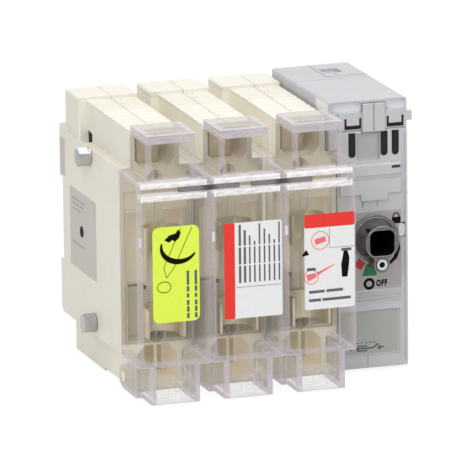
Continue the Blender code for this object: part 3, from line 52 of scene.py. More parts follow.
level = Vector((math.cos(turn), -math.sin(turn), 0.0))
upright = toward.cross(level)
across = level * math.cos(roll) + upright * math.sin(roll)
above = upright * math.cos(roll) - level * math.sin(roll)
lens = bpy.data.cameras.new("camera")
lens.lens = 557.5
lens.sensor_width = 36.0
camera = bpy.data.objects.new("camera", lens)
place = middle - across * aim_left + above * aim_up + toward * distance
camera.matrix_world = Matrix((
    (across.x, above.x, toward.x, place.x),
    (across.y, above.y, toward.y, place.y),
    (across.z, above.z, toward.z, place.z),
    (0.0, 0.0, 0.0, 1.0)))
bpy.context.scene.collection.objects.link(camera)
bpy.context.scene.camera = camera
bpy.context.scene.view_settings.view_transform = "Standard"


class Wire:
    """A shader socket that takes part in Python sums, and adds the Math nodes they need."""

    def __init__(self, tree, socket=None):
        self.tree = tree
        self.socket = socket

    def node(self, kind, settings, values, output=0):
        """A node of any type: its settings first, then the values or links of its sockets."""
        new = self.tree.nodes.new(kind)
        for name, value in settings.items():
            setattr(new, name, value)
        for name, value in values.items():
            if isinstance(value, Wire):
                self.tree.links.new(value.socket, new.inputs[name])
            else:
                new.inputs[name].default_value = value
        return Wire(self.tree, new.outputs[output] if len(new.outputs) else None)

    def beside(self, output):
        """Another output of the node that this wire comes from."""
        return Wire(self.tree, self.socket.node.outputs[output])

    def feed(self, target):
        self.tree.links.new(self.socket, target)

    def maths(self, operation, first, second):
        return self.node("ShaderNodeMath", {"operation": operation}, {0: first, 1: second})

    def __add__(self, other):
        return self.maths("ADD", self, other)

    def __radd__(self, other):
        return self.maths("ADD", other, self)

    def __sub__(self, other):
        return self.maths("SUBTRACT", self, other)

    def __rsub__(self, other):
        return self.maths("SUBTRACT", other, self)

    def __mul__(self, other):
        return self.maths("MULTIPLY", self, other)

    def __rmul__(self, other):
        return self.maths("MULTIPLY", other, self)

    def __pow__(self, other):
        return self.maths("POWER", self, other)

    def __mod__(self, other):
        return self.maths("MODULO", self, other)

    def __abs__(self):
        return self.maths("ABSOLUTE", self, 0.0)

    def at_most(self, other):
        return self.maths("MINIMUM", self, other)

    def at_least(self, other):
        return self.maths("MAXIMUM", self, other)

    def share(self):
        """Held between 0 and 1."""
        return self.at_most(1.0).at_least(0.0)

    def past(self, start, blend):
        """0 below a start, 1 beyond it, blended over a short way."""
        return ((self - start) * (1.0 / blend)).share()

    def short_of(self, end, blend):
        """1 below an end, 0 beyond it, blended over a short way."""
        return 1.0 - self.past(end, blend)

    def mix(self, mask, first, second):
        """The first colour where a mask is 0 and the second where it is 1."""
        mixed = self.node("ShaderNodeMix", {"data_type": "RGBA"}, {0: mask, 6: first, 7: second})
        return mixed.beside(2)

    def noise(self, scale, detail):
        """Noise on the point that this wire carries."""
        return self.node("ShaderNodeTexNoise", {}, {"Vector": self, "Scale": scale, "Detail": detail})


# Studio. A white room with a pale floor: the world lights everything evenly, two soft
# boxes model the edges, and the camera sees plain white behind the object. The floor is
# mostly clear to the camera, and clear from below, since the open covers swing lower.
world = bpy.data.worlds.new("studio")
world.use_nodes = True
bpy.context.scene.world = world
world.node_tree.nodes.clear()
room = Wire(world.node_tree)
seen = room.node("ShaderNodeLightPath", {}, {}, "Is Camera Ray")
lit = room.node("ShaderNodeBackground", {}, {"Color": (1.0, 0.99, 0.97, 1.0), "Strength": 0.58})
white = room.node("ShaderNodeBackground", {}, {"Color": (1.0, 1.0, 1.0, 1.0), "Strength": 1.0})
shown = (seen + seen.beside("Is Glossy Ray") + seen.beside("Is Transmission Ray")).at_most(1.0)
sky = room.node("ShaderNodeMixShader", {}, {0: shown, 1: lit, 2: white})
room.node("ShaderNodeOutputWorld", {}, {"Surface": sky})


def soft_box(name, spot, size, power):
    """A square area lamp that faces the middle of the object."""
    lamp = bpy.data.lights.new(name, "AREA")
    lamp.size = size
    lamp.energy = power
    holder = bpy.data.objects.new(name, lamp)
    holder.location = spot
    holder.rotation_euler = (Vector(spot) - middle).to_track_quat("Z", "Y").to_euler()
    bpy.context.scene.collection.objects.link(holder)


soft_box("soft_box_left", (-0.55, -0.75, 0.80), size=0.55, power=4.1)
soft_box("soft_box_top", (0.25, -0.15, 1.00), size=0.70, power=4.3)

floor_half, floor_clear = 6.0, 0.80
bm = bmesh.new()
bmesh.ops.create_grid(bm, x_segments=1, y_segments=1, size=floor_half)
floor_mesh = bpy.data.meshes.new("floor")
bm.to_mesh(floor_mesh)
bm.free()
floor = bpy.data.objects.new("floor", floor_mesh)
bpy.context.scene.collection.objects.link(floor)
floor_paint = bpy.data.materials.new("floor_paint")
floor_paint.use_nodes = True
floor_paint.node_tree.nodes.clear()
paint = Wire(floor_paint.node_tree)
seen = paint.node("ShaderNodeLightPath", {}, {}, "Is Camera Ray")
beneath = paint.node("ShaderNodeNewGeometry", {}, {}, "Backfacing")
matt = paint.node("ShaderNodeBsdfDiffuse", {}, {"Color": (0.86, 0.86, 0.86, 1.0)})
glow = paint.node("ShaderNodeEmission", {}, {"Color": (1.0, 1.0, 1.0, 1.0), "Strength": 0.1})
sheer = paint.node("ShaderNodeBsdfTransparent", {}, {"Color": (1.0, 1.0, 1.0, 1.0)})
sheer = paint.node("ShaderNodeAddShader", {}, {0: glow, 1: sheer})
bright = paint.node("ShaderNodeMixShader", {}, {0: (seen * floor_clear).at_least(beneath), 1: matt, 2: sheer})
paint.node("ShaderNodeOutputMaterial", {}, {"Surface": bright})
floor_mesh.materials.append(floor_paint)


# Pole housings. Two half shells of cream thermoset for each pole, pressed in polished steel
# moulds: a fine even grain, softly rounded edges and a slight cloud in the colour.
def tone(red, green, blue):
    """A colour as it looks on screen, in the numbers a shader takes."""
    return tuple(((value / 255 + 0.055) / 1.055) ** 2.4 if value > 10 else value / 3295
                 for value in (red, green, blue)) + (1.0,)


def new_finish(name, **constants):
    """A material, the wire of its points and its shader, with the shader's constants set."""
    made = bpy.data.materials.new(name)
    made.use_nodes = True
    shader = made.node_tree.nodes["Principled BSDF"]
    for socket, value in constants.items():
        shader.inputs[socket.replace("_", " ")].default_value = value
    return made, Wire(made.node_tree).node("ShaderNodeTexCoord", {}, {}, "Object"), shader


def grained(shader, grain, radius, strength, height, samples=4):
    """A fine relief over rounded edges."""
    rounded = grain.node("ShaderNodeBevel", {"samples": samples}, {"Radius": radius})
    bumpy = grain.node("ShaderNodeBump", {},
                       {"Strength": strength, "Distance": height, "Height": grain, "Normal": rounded})
    bumpy.feed(shader.inputs["Normal"])


def moulded(name, colour, cloud, roughness, grain, edge):
    """Moulded plastic: two close colours clouded together, a fine grain and rounded edges."""
    made, here, shader = new_finish(name, Specular_IOR_Level=0.45)
    cloud_scale, wear_scale, grain_height, uneven = 55.0, 420.0, 0.00006, 0.12
    drift, speck, wear = here.noise(cloud_scale, 3.0), here.noise(grain, 2.0), here.noise(wear_scale, 2.0)
    mixed = (drift * 1.6 - 0.3 + (wear - 0.5) * 0.5).share()
    here.mix(mixed, colour, cloud).feed(shader.inputs["Base Color"])
    (roughness - uneven / 2 + drift * uneven).feed(shader.inputs["Roughness"])
    grained(shader, speck, edge, 0.35, grain_height)
    return made


def tint(material, mask, colour):
    """Blends a second colour into a finished material where a mask is 1."""
    shader = material.node_tree.nodes["Principled BSDF"]
    plain = Wire(material.node_tree, shader.inputs["Base Color"].links[0].from_socket)
    plain.mix(mask, plain, colour).feed(shader.inputs["Base Color"])


def position(here):
    """The x, y and z wires of the point that a wire carries."""
    x = here.node("ShaderNodeSeparateXYZ", {}, {0: here}, "X")
    return x, x.beside("Y"), x.beside("Z")


def points_of(material):
    """The x, y and z wires of a point in a finished material."""
    return position(Wire(material.node_tree).node("ShaderNodeTexCoord", {}, {}, "Object"))


def dress(material, *names):
    """Gives CAD nodes their finish."""
    for name in names:
        frame["nodes"][name].material_slots[0].material = material


cream = moulded("cream_thermoset", tone(238, 235, 225), tone(232, 228, 214), 0.42, 2600.0, 0.00035)
pole_play = 0.00030
first_pole = pole_left - pole_play / 2
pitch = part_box("fuse_cover_2")[0].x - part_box("fuse_cover_1")[0].x
wide, deep, high = points_of(cream)
aside = abs((wide - first_pole) % pitch - pitch / 2)
bay_face, bay_end, channel_face = cover_front + 0.0252, cover_front + 0.0550, cover_front + 0.0266
foot_top, half_height, shoulder, roof_edge, trough_top = 0.0195, 0.0446, 0.0948, 0.0953, 0.1088
half_bay, column_step = 0.0151, 0.0046
# Painted shade: the cream is darker and warmer in the bays behind the covers, which keep part of the light
# out, and less so below the foot.
behind = deep.past(bay_face, 0.0002) * deep.short_of(bay_end, 0.0010)
within = ((aside + high.past(shoulder, 0.0001) * column_step).short_of(half_bay, 0.0001)
          * high.short_of(trough_top, 0.0002))
above_foot, upper_half = high.past(foot_top, 0.0020), high.past(half_height, 0.0004)
tint(cream, (behind * within * (0.20 + above_foot * 0.60)).at_most(1.0), tone(190, 179, 158))

# The clear covers scatter daylight into the bays, which a plain clear surface can't do, so painted light
# stands in:
# a faint warm glow on the cream there, on the walls between two poles, and on a strip where the second and
# third poles meet.
wall_between, roof_top, glow_front = pole_left + 0.0310, 0.1098, cover_front + 0.0275
strip_left, strip_right = pole_left + 0.0616, pole_left + 0.0666
above_shoulder = high.past(shoulder, 0.0004)
sunk = deep.past(channel_face, 0.0003) * within * high.short_of(trough_top, 0.0010)
side_walls = (wide.past(wall_between, 0.0002) * high.past(roof_edge, 0.0004)
              * high.short_of(roof_top, 0.0006) * (1.0 - within))
strip = (wide.past(strip_left, 0.0004) * wide.short_of(strip_right, 0.0006)
         * deep.short_of(glow_front, 0.0005) * high.short_of(shoulder, 0.0004))
painted_glow = (behind * within * (upper_half * 0.065 + (1.0 - above_foot) * 0.10) * (1.0 - above_shoulder * 0.5)
          + sunk * (0.040 + upper_half * 0.055) * (1.0 - above_shoulder * 0.6)
          + side_walls * 0.07 + strip * upper_half * 0.18).at_most(1.0)
shader = cream.node_tree.nodes["Principled BSDF"]
shader.inputs["Emission Strength"].default_value = 1.0
painted_glow.mix(painted_glow, (0.0, 0.0, 0.0, 1.0), (1.0, 0.88, 0.68, 1.0)).feed(shader.inputs["Emission Color"])
poles = (1, 2, 3)
for number in poles:
    dress(cream, f"pole_left_shell_{number}", f"pole_right_shell_{number}")


# Fuse covers. Clear polycarbonate boxes that hinge forward. The panes are nearly unseen; the
# walls gather light where they are seen along their thickness, so the edges, the cap's thick
# top and the two rails of the grip look lilac and milky.
def rounding(here, radius, strength):
    """A normal that rounds sharp edges over a radius, and how far it turns there, up to 1."""
    rounded = here.node("ShaderNodeBevel", {"samples": 8}, {"Radius": radius})
    true = here.node("ShaderNodeNewGeometry", {}, {}, "Normal")
    agree = here.node("ShaderNodeVectorMath", {"operation": "DOT_PRODUCT"}, {0: rounded, 1: true}, "Value")
    return rounded, ((1.0 - agree) * strength).share()


# Painted light: the clear plastic glows faintly in its milky colour, so its walls stay light where they are
# in shade.
clear, here, shader = new_finish("clear_polycarbonate", Specular_IOR_Level=0.8, IOR=1.58,
                                 Emission_Strength=0.46)
wide, deep, height = position(here)
depth = deep - cover_front
across_pole = (wide - first_pole) % pitch
aside = abs(across_pole - pitch / 2)
cap_foot, cap_top, body_foot, body_top = 0.0949, 0.1095, 0.0163, 0.0930
half_cover, cap_narrower, cap_setback = 0.0156, 0.00508, 0.0026
wall, blend, fine = 0.0019, 0.0005, 0.0003
cap, foot = height.past(cap_foot, 0.0001), height.short_of(body_foot, 0.0001)
side_wall = (aside + (cap + foot) * cap_narrower).past(half_cover - wall - blend, blend)
front_wall = (depth - cap * cap_setback).short_of(wall, blend)
top_wall = (height.past(body_top - blend, blend) * (1.0 - cap)).at_least(height.past(cap_top - blend, blend))
floor_top, ledge_low, ledge_top = 0.0024, 0.0160, 0.0183
ledge = height.past(ledge_low, fine) * height.short_of(ledge_top, blend)
low_wall = height.short_of(floor_top, blend).at_least(ledge)
edge = (side_wall + front_wall + top_wall.at_least(low_wall) - 1.0).share()
low_rail, top_rail, half_rail, rail_depth = (0.0860, 0.0884), (0.0914, 0.0938), 0.0141, 0.0056
rails = (height.past(low_rail[0], fine) - height.past(low_rail[1], fine)
         + height.past(top_rail[0], fine) - height.past(top_rail[1], fine))
grip = rails * aside.short_of(half_rail, fine) * depth.short_of(rail_depth, fine)
crown_low, skirt_top, half_foot = 0.1090, 0.0166, 0.0080
crown = height.past(crown_low, 0.0006)
skirt = height.short_of(skirt_top, 0.0004) * aside.past(half_foot, 0.0006)
along_rail, down_wall = (260.0, 900.0, 900.0), (900.0, 900.0, 160.0)
streak = here.node("ShaderNodeMapping", {}, {"Vector": here, "Scale": along_rail}).noise(1.0, 3.0)
drip = here.node("ShaderNodeMapping", {}, {"Vector": here, "Scale": down_wall}).noise(1.0, 3.0)
flow = here.noise(90.0, 2.0)
edge_round, right_wall = 0.0006, 0.0295
rounded, rim = rounding(here, edge_round, 7.0)
side_on = here.node("ShaderNodeLayerWeight", {}, {"Blend": 0.5}, "Facing")
veil = (0.035 + side_on ** 7.0 * 0.6 + edge * (0.16 + streak * 0.34) + grip * (0.34 + streak * 0.7)
        + rim * 0.30 + crown * (0.05 + streak * 0.55) + skirt * (0.10 + drip * 0.50) + (flow - 0.5) * 0.03)
veil.at_most(0.95).at_least(0.02).feed(shader.inputs["Alpha"])
# Painted light: the right wall of each pole is painted lighter, and the grip rails, the rounded edges and the
# cap's top get a painted white highlight.
milk_glow = here.mix(across_pole.past(right_wall, fine), tone(182, 176, 166), tone(226, 216, 203))
milk_glow = here.mix(edge, milk_glow, tone(192, 183, 192))
painted_highlight = (grip * (0.4 + streak) + rim * 0.6 + streak * crown * 0.1).at_most(1.0)
milk_glow = here.mix(painted_highlight, milk_glow, tone(255, 252, 255))
milk_glow.feed(shader.inputs["Emission Color"])
here.mix(0.5, milk_glow, (0.0, 0.0, 0.0, 1.0)).feed(shader.inputs["Base Color"])
(0.05 + flow * 0.05).feed(shader.inputs["Roughness"])
rounded.feed(shader.inputs["Normal"])
dress(clear, "fuse_cover_1", "fuse_cover_2", "fuse_cover_3")


# Cover links. Two dark plastic bars in the grip slot, each joining two neighbouring covers
# so that all three open together. They are darkest where they cross from cover to cover.
dark = moulded("dark_plastic", tone(142, 138, 142), tone(128, 124, 128), 0.40, 2600.0, 0.0002)
from_joint = abs((points_of(dark)[0] - first_pole + pitch / 2) % pitch - pitch / 2)
half_crossing, crossing_blend = 0.0012, 0.0030
tint(dark, from_joint.short_of(half_crossing, crossing_blend), tone(74, 70, 76))
dress(dark, "cover_link_1", "cover_link_2")


# Clips, terminals and screws. Punched and bent copper with a dull tin plate on the clips,
# and bright zinc on the screws, shaft and tie bolts.
def plated(name, colour, dull, roughness, grain, metallic=1.0):
    """Plated metal, a little blotched, with fine rolling or turning marks."""
    made, here, shader = new_finish(name, Metallic=metallic)
    blotch_scale, edge, mark_height, uneven = 160.0, 0.00015, 0.00004, 0.16
    blotch, marks = here.noise(blotch_scale, 4.0), here.noise(grain, 3.0)
    here.mix((blotch * 1.8 - 0.4).share(), colour, dull).feed(shader.inputs["Base Color"])
    (roughness - uneven / 2 + blotch * uneven).feed(shader.inputs["Roughness"])
    grained(shader, marks, edge, 0.25, mark_height)
    return made


tinned = plated("tinned_copper", tone(224, 214, 192), tone(206, 194, 170), 0.45, 1500.0, metallic=0.7)
copper = plated("dull_copper", tone(206, 194, 166), tone(188, 174, 144), 0.45, 1500.0, metallic=0.7)
zinc = plated("bright_zinc", tone(206, 207, 208), tone(176, 178, 180), 0.30, 1800.0)
for number in poles:
    dress(tinned, f"upper_fuse_clip_{number}", f"lower_fuse_clip_{number}")
    dress(copper, f"line_terminal_{number}", f"load_terminal_{number}",
          f"front_blade_{number}", f"rear_blade_{number}")
    dress(zinc, f"line_screw_{number}", f"load_screw_{number}")
dress(zinc, "cross_shaft", "upper_tie_bolt", "lower_tie_bolt", "upper_tie_nut", "lower_tie_nut")


# Rotors and gears. Black moulded plastic inside the poles and the module. The drums carry
# the moving blades, and the gears turn them from the drive.
black = moulded("black_plastic", tone(38, 38, 40), tone(30, 30, 32), 0.45, 2600.0, 0.0002)
dress(black, "contact_rotor_1", "contact_rotor_2", "contact_rotor_3", "shaft_bevel_gear", "drive_bevel_gear",
      "drive_shaft")


# Drive module. Light grey plastic casings with a fine spark-eroded grain, the cross strap
# in the same plastic, and a paler tab for a padlock.
grey = moulded("light_grey_plastic", tone(198, 199, 203), tone(191, 192, 196), 0.46, 2200.0, 0.0004)
pale = moulded("pale_grey_plastic", tone(214, 215, 214), tone(206, 207, 206), 0.40, 2200.0, 0.0003)
wide, deep, high = points_of(grey)
recess_low, recess_top, recess_face = 0.1098, 0.1148, cover_front + 0.0249
slot_left, slot_right, slot_low, slot_top = pole_left + 0.1028, pole_left + 0.1135, 0.0905, 0.1014
front_part = deep.short_of(cover_front + 0.0400, 0.0010)
strap_recess = (high.past(recess_low, 0.0004) * high.short_of(recess_top, 0.0004)
                * deep.past(recess_face, 0.0003) * front_part)
between_slots = (wide.past(slot_left, 0.0004) * wide.short_of(slot_right, 0.0004)
                 * high.past(slot_low, 0.0008) * high.short_of(slot_top, 0.0006) * front_part)
# Painted light and shade: the recess under the strap is painted lighter, and the sunk panel between the slots
# is painted darker.
tint(grey, strap_recess * 0.8, tone(246, 249, 253))
tint(grey, between_slots * 0.8, tone(168, 169, 172))
dress(grey, "module_front_casing", "module_rear_casing", "top_strap")
dress(pale, "lock_tab")


# Drive socket. Dark die-cast zinc, tumbled: satin with a soft mottle, with a painted highlight
# on its rounded rim and painted shade, nearly black, inside its hole.
drive = next(joint for joint in frame["joints"] if joint["name"] == "drive_turn")["pos_m"]
drive_x, drive_z = drive[0], drive[2]
cast, here, shader = new_finish("die_cast_zinc", Metallic=0.75)
half_hole, rim_round = 0.0056, 0.0005
mottle, skin = here.noise(300.0, 5.0), here.noise(1300.0, 3.0)
wide, deep, high = position(here)
off_axis = abs(wide - drive_x).at_least(abs(high - drive_z))
inside = (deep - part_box("drive_socket")[0].y).past(0.0004, 0.0010) * off_axis.short_of(half_hole, 0.0001)
rim = rounding(here, rim_round, 5.0)[1]
shade = here.mix((mottle * 2.0 - 0.5).share(), tone(122, 120, 122), tone(84, 83, 86))
# Painted shade, nearly black, inside the hole, and a painted highlight on the rounded rim.
shade = here.mix(inside, shade, tone(12, 12, 13))
shade = here.mix(rim * (1.0 - inside) * (0.5 + mottle * 0.6), shade, tone(214, 212, 212))
shade.feed(shader.inputs["Base Color"])
(0.28 + mottle * 0.16 + inside * 0.4).at_most(0.9).feed(shader.inputs["Roughness"])
grained(shader, skin, rim_round, 0.4, 0.00005, samples=8)
dress(cast, "drive_socket")


# Clamping screw. Bright zinc like the bolts, with painted shade, a dark disc, for the socket
# in its head, turned into the lobe of the drive socket.
bolt = plated("bright_screw", tone(226, 228, 228), tone(196, 198, 198), 0.22, 1800.0)
screw_low, screw_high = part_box("set_screw")
screw_middle = (screw_low + screw_high) / 2
socket_radius = 0.00115
wide, _, high = points_of(bolt)
away = ((wide - screw_middle.x) ** 2.0 + (high - screw_middle.z) ** 2.0) ** 0.5
# Painted shade: a dark disc for the socket in the head.
tint(bolt, away.short_of(socket_radius, 0.00015), tone(22, 26, 25))
dress(bolt, "set_screw")


# Labels on the covers. Printed vinyl, cut with round corners and stuck to the front panes:
# plain fields of colour, a turn arrow and ruled lines.
def printed(name, colour, roughness=0.45, gloss=0.4):
    """Ink or vinyl of one colour, with the faint unevenness of print."""
    made, here, shader = new_finish(name, Specular_IOR_Level=gloss)
    uneven = here.noise(700.0, 2.0)
    deeper = tuple(value * 0.93 for value in colour[:3]) + (1.0,)
    here.mix(uneven, colour, deeper).feed(shader.inputs["Base Color"])
    (roughness - 0.05 + uneven * 0.10).feed(shader.inputs["Roughness"])
    return made


def finish_piece(name, bm, material, body):
    """An object from a bmesh, in its material, riding on a body."""
    bmesh.ops.recalc_face_normals(bm, faces=bm.faces)
    mesh = bpy.data.meshes.new(name)
    bm.to_mesh(mesh)
    bm.free()
    mesh.materials.append(material)
    piece = bpy.data.objects.new(name, mesh)
    bpy.context.scene.collection.objects.link(piece)
    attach(piece, body)


def thicken(bm, faces, push):
    """Flat faces pushed out to a closed plate."""
    grown = bmesh.ops.extrude_face_region(bm, geom=faces)
    lifted = [item for item in grown["geom"] if isinstance(item, bmesh.types.BMVert)]
    bmesh.ops.translate(bm, vec=push, verts=lifted)


def slab(bm, outline, push):
    """A flat outline of points in space, pushed out to a thin plate."""
    thicken(bm, [bm.faces.new([bm.verts.new(point) for point in outline])], push)


def plate(bm, x, z, front, thick, corner):
    """A thin upright plate, from its spans on x and z and its front; its corners are round."""
    verts = bmesh.ops.create_cube(bm, size=1.0)["verts"]
    bmesh.ops.scale(bm, vec=(x[1] - x[0], thick, z[1] - z[0]), verts=verts)
    bmesh.ops.translate(bm, vec=((x[0] + x[1]) / 2, front - thick / 2, (z[0] + z[1]) / 2), verts=verts)
    edges = [edge for edge in bm.edges if edge.verts[0] in verts
             and abs(edge.verts[0].co.y - edge.verts[1].co.y) > thick / 2]
    bmesh.ops.bevel(bm, geom=edges, offset=corner, segments=5, profile=0.5, affect="EDGES",
                    offset_type="OFFSET", material=-1)


def label(name, x, z, front, material, body, corner, thick=0.00010):
    """A plate that is a piece of its own."""
    bm = bmesh.new()
    plate(bm, x, z, front, thick, corner)
    finish_piece(name, bm, material, body)


ink_thick = 0.00006


def stroke(bm, points, width, front, thick=ink_thick):
    """A drawn line of even or changing width through points on the front, added to a bmesh."""
    widths = width if isinstance(width, (list, tuple)) else [width] * len(points)
    rungs = []
    for index, (point, wide) in enumerate(zip(points, widths)):
        before = points[max(index - 1, 0)]
        after = points[min(index + 1, len(points) - 1)]
        along = Vector((after[0] - before[0], after[1] - before[1])).normalized()
        side = Vector((-along.y, along.x)) * wide / 2
        rungs.append([bm.verts.new((point[0] + side.x, front, point[1] + side.y)),
                      bm.verts.new((point[0] - side.x, front, point[1] - side.y))])
    faces = [bm.faces.new((start[0], end[0], end[1], start[1])) for start, end in zip(rungs, rungs[1:])]
    thicken(bm, faces, (0.0, -thick, 0.0))


def round_points(centre, radii, steps, start=0.0, sweep=360.0):
    """Points along an ellipse or a part of it."""
    angles = [math.radians(start + sweep * step / steps) for step in range(steps + 1)]
    return [(centre[0] + radii[0] * math.cos(angle), centre[1] + radii[1] * math.sin(angle))
            for angle in angles]


def moved(points, x, z=0.0):
    """Points drawn from a corner or a centre, moved to where it is."""
    return [(x + right, z + up) for right, up in points]


yellow = printed("yellow_vinyl", tone(228, 250, 80))
paper = printed("white_vinyl", tone(238, 238, 240))
red = printed("red_ink", tone(238, 48, 40))
ink = printed("black_ink", tone(11, 11, 11), 0.6, 0.08)
rule = printed("grey_ink", tone(150, 150, 156))
covers = (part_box("fuse_cover_1"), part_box("fuse_cover_2"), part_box("fuse_cover_3"))
first_x, second_x, third_x = (cover[0].x for cover in covers)
glue, hairline = 0.00002, 0.00024
backing = cover_front - glue
paper_front = cover_front - 0.00010
band_front = cover_front - 0.00008

label("yellow_label", (first_x + 0.0062, first_x + 0.0262), (0.0350, 0.0752), backing, yellow, "fuse_covers",
      corner=0.0026)
arrow = bmesh.new()
swing = round_points((first_x + 0.0176, 0.0667), (0.0077, 0.0064), steps=15, start=166, sweep=165)
thin_end, belly = 0.0007, 0.0016
stroke(arrow, swing, [thin_end + belly * math.sin(math.pi * step / 15) for step in range(16)], paper_front)
head = [(0.0184, 0.0726), (0.0172, 0.0738), (0.0162, 0.0723), (0.0134, 0.0716), (0.0113, 0.0697),
        (0.0131, 0.0686), (0.0149, 0.0696), (0.0158, 0.0687), (0.0176, 0.0702)]
slab(arrow, [(x, paper_front, z) for x, z in moved(head, first_x)], (0.0, -ink_thick, 0.0))
shank = [(0.0184, 0.0743), (0.0109, 0.0581)], [(0.0231, 0.0743), (0.0152, 0.0577)]
tip = [(0.0109, 0.0581), (0.0121, 0.0538)], [(0.0121, 0.0538), (0.0152, 0.0577)]
for line in shank + tip:
    stroke(arrow, moved(line, first_x), hairline, paper_front)
stroke(arrow, round_points((first_x + 0.0110, 0.0500), (0.0029, 0.0023), steps=24), 0.0003, paper_front)
finish_piece("turn_arrow", arrow, ink, "fuse_covers")

label("white_label", (second_x + 0.0054, second_x + 0.0304), (0.0341, 0.0744), backing, paper, "fuse_covers",
      corner=0.0010)
label("white_label_band", (second_x + 0.0054, second_x + 0.0100), (0.0341, 0.0744), band_front, red,
      "fuse_covers", corner=0.0008, thick=0.00007)
lines = bmesh.new()
for row in range(9):
    spot, bold = second_x + 0.0122 + row * 0.00212, row < 2
    for low, top in ((0.0490, 0.0562), (0.0568, 0.0640), (0.0646, 0.0735 - 0.0024 * (row % 4))):
        stroke(lines, [(spot, low), (spot, top)], 0.0010 if bold else 0.0007, paper_front)
stroke(lines, moved([(0.0104, 0.0472), (0.0298, 0.0472)], second_x), 0.0002, paper_front)

label("tall_label", (third_x + 0.0086, third_x + 0.0304), (0.0350, 0.0752), backing, paper, "fuse_covers",
      corner=0.0010)
label("tall_label_band", (third_x + 0.0086, third_x + 0.0304), (0.0695, 0.0752), band_front, red,
      "fuse_covers", corner=0.0008, thick=0.00007)
for line in ([(0.0104, 0.0424), (0.0172, 0.0425)], [(0.0180, 0.0425), (0.0252, 0.0426)],
             [(0.0104, 0.0389), (0.0156, 0.0389)], [(0.0163, 0.0389), (0.0286, 0.0390)],
             [(0.0096, 0.0521), (0.0134, 0.0521)], [(0.0246, 0.0594), (0.0290, 0.0594)]):
    stroke(lines, moved(line, third_x), 0.0012, paper_front)
picture_frame = [(0.0195, 0.0690), (0.0195, 0.0606), (0.0304, 0.0606)]
stroke(lines, moved(picture_frame, third_x), 0.0002, paper_front)
for row in (1, 2):
    spot = first_x + 0.0178 + row * 0.0034
    for low, top in ((0.0362, 0.0384), (0.0389, 0.0412), (0.0417, 0.0438), (0.0449, 0.0466),
                     (0.0474, 0.0497), (0.0502, 0.0562)):
        stroke(lines, [(spot, low), (spot, top)], 0.0011, paper_front)
drawing = bmesh.new()
for centre, radius in (((0.0155, 0.0640), 0.0038), ((0.0115, 0.0488), 0.0030)):
    ring = round_points(centre, (radius, radius), steps=28)
    stroke(drawing, moved(ring, third_x), 0.00035, paper_front)
for line, widths in (([(0.0132, 0.0634), (0.0178, 0.0646)], [0.0026, 0.0022]),
                     ([(0.0096, 0.0484), (0.0136, 0.0496)], [0.0030, 0.0018]),
                     ([(0.0142, 0.0500), (0.0214, 0.0534)], [0.0012, 0.0004])):
    stroke(drawing, moved(line, third_x), widths, paper_front)
finish_piece("tall_label_drawing", drawing, printed("rose_ink", tone(240, 118, 112)), "fuse_covers")
handle = bmesh.new()
grip_line = [(0.0264, 0.0588), (0.0266, 0.0560), (0.0262, 0.0530), (0.0260, 0.0478)]
stroke(handle, moved(grip_line, third_x), [0.0016, 0.0030, 0.0034, 0.0024], paper_front)
stroke(handle, moved([(0.0076, 0.0580), (0.0100, 0.0594)], third_x), [0.0006, 0.0026], paper_front)
finish_piece("tall_label_handle", handle, ink, "fuse_covers")
finish_piece("ruled_lines", lines, printed("faded_ink", tone(96, 96, 102)), "fuse_covers")


# Side labels. A grey rating field on the wall of the first pole, and a narrow strip on the
# upper rear foot, both cut from vinyl with round corners.
grey_print = printed("grey_vinyl", tone(203, 200, 194))


def side_label(name, y, z):
    """A thin label on the left wall of the first pole, from its spans on y and z."""
    corner, thick = 0.0004, 0.00010
    bm = bmesh.new()
    bmesh.ops.create_cube(bm, size=1.0)
    bmesh.ops.scale(bm, vec=(thick, y[1] - y[0], z[1] - z[0]), verts=bm.verts)
    bmesh.ops.translate(bm, verts=bm.verts,
                        vec=(pole_left - thick / 2, cover_front + (y[0] + y[1]) / 2, (z[0] + z[1]) / 2))
    edges = [edge for edge in bm.edges if abs(edge.verts[0].co.x - edge.verts[1].co.x) > thick / 2]
    bmesh.ops.bevel(bm, geom=edges, offset=corner, segments=3, profile=0.5, affect="EDGES",
                    offset_type="OFFSET", material=-1)
    finish_piece(name, bm, grey_print, "housing")


side_label("rating_field", (0.0578, 0.0945), (0.0398, 0.0735))
side_label("foot_strip", (0.1010, 0.1076), (0.0758, 0.0918))


# Marks beside the drive. A warm grey dial plate with a round hole for the socket, a red and
# a green sector for the two positions, a ring, a stop mark and a padlock sign in black ink.
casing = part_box("module_front_casing")
casing_left, casing_right = casing[0].x, casing[1].x
face = casing[0].y + 0.0009
marks = face - 0.00010
dial_print = printed("warm_grey_vinyl", tone(176, 170, 172))
green = printed("green_ink", tone(34, 112, 64))
brick = printed("brick_red_ink", tone(190, 52, 46))
dial = bmesh.new()
dial_left, dial_right = casing_left + 0.0046, casing_right - 0.0026
dial_low, dial_top = drive_z - 0.0220, drive_z + 0.0112
corners = ((dial_left, dial_low), (dial_right, dial_low), (dial_right, dial_top), (dial_left, dial_top))
outer = [dial.verts.new((x, marks, z)) for x, z in corners]
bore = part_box("drive_socket")[1].x - drive_x + 0.0006
hole = round_points((drive_x, drive_z), (bore, bore), steps=48)[:-1]
inner = [dial.verts.new((x, marks, z)) for x, z in hole]
rims = [dial.edges.new((loop[i - 1], loop[i])) for loop in (outer, inner) for i in range(len(loop))]
bmesh.ops.triangle_fill(dial, use_beauty=True, edges=rims)
thicken(dial, dial.faces[:], (0.0, 0.00008, 0.0))
finish_piece("dial_plate", dial, dial_print, "housing")

closed_mark = [(-0.0090, -0.0112), (-0.0058, -0.0134), (-0.0040, -0.0106), (-0.0066, -0.0082)]
open_mark = [(-0.0054, -0.0160), (0.0010, -0.0161), (0.0010, -0.0120), (-0.0020, -0.0104), (-0.0036, -0.0112)]
for name, outline, colour in (("red_sector", closed_mark, brick), ("green_sector", open_mark, green)):
    sector = bmesh.new()
    slab(sector, [(x, marks, z) for x, z in moved(outline, drive_x, drive_z)], (0.0, -ink_thick, 0.0))
    finish_piece(name, sector, colour, "housing")

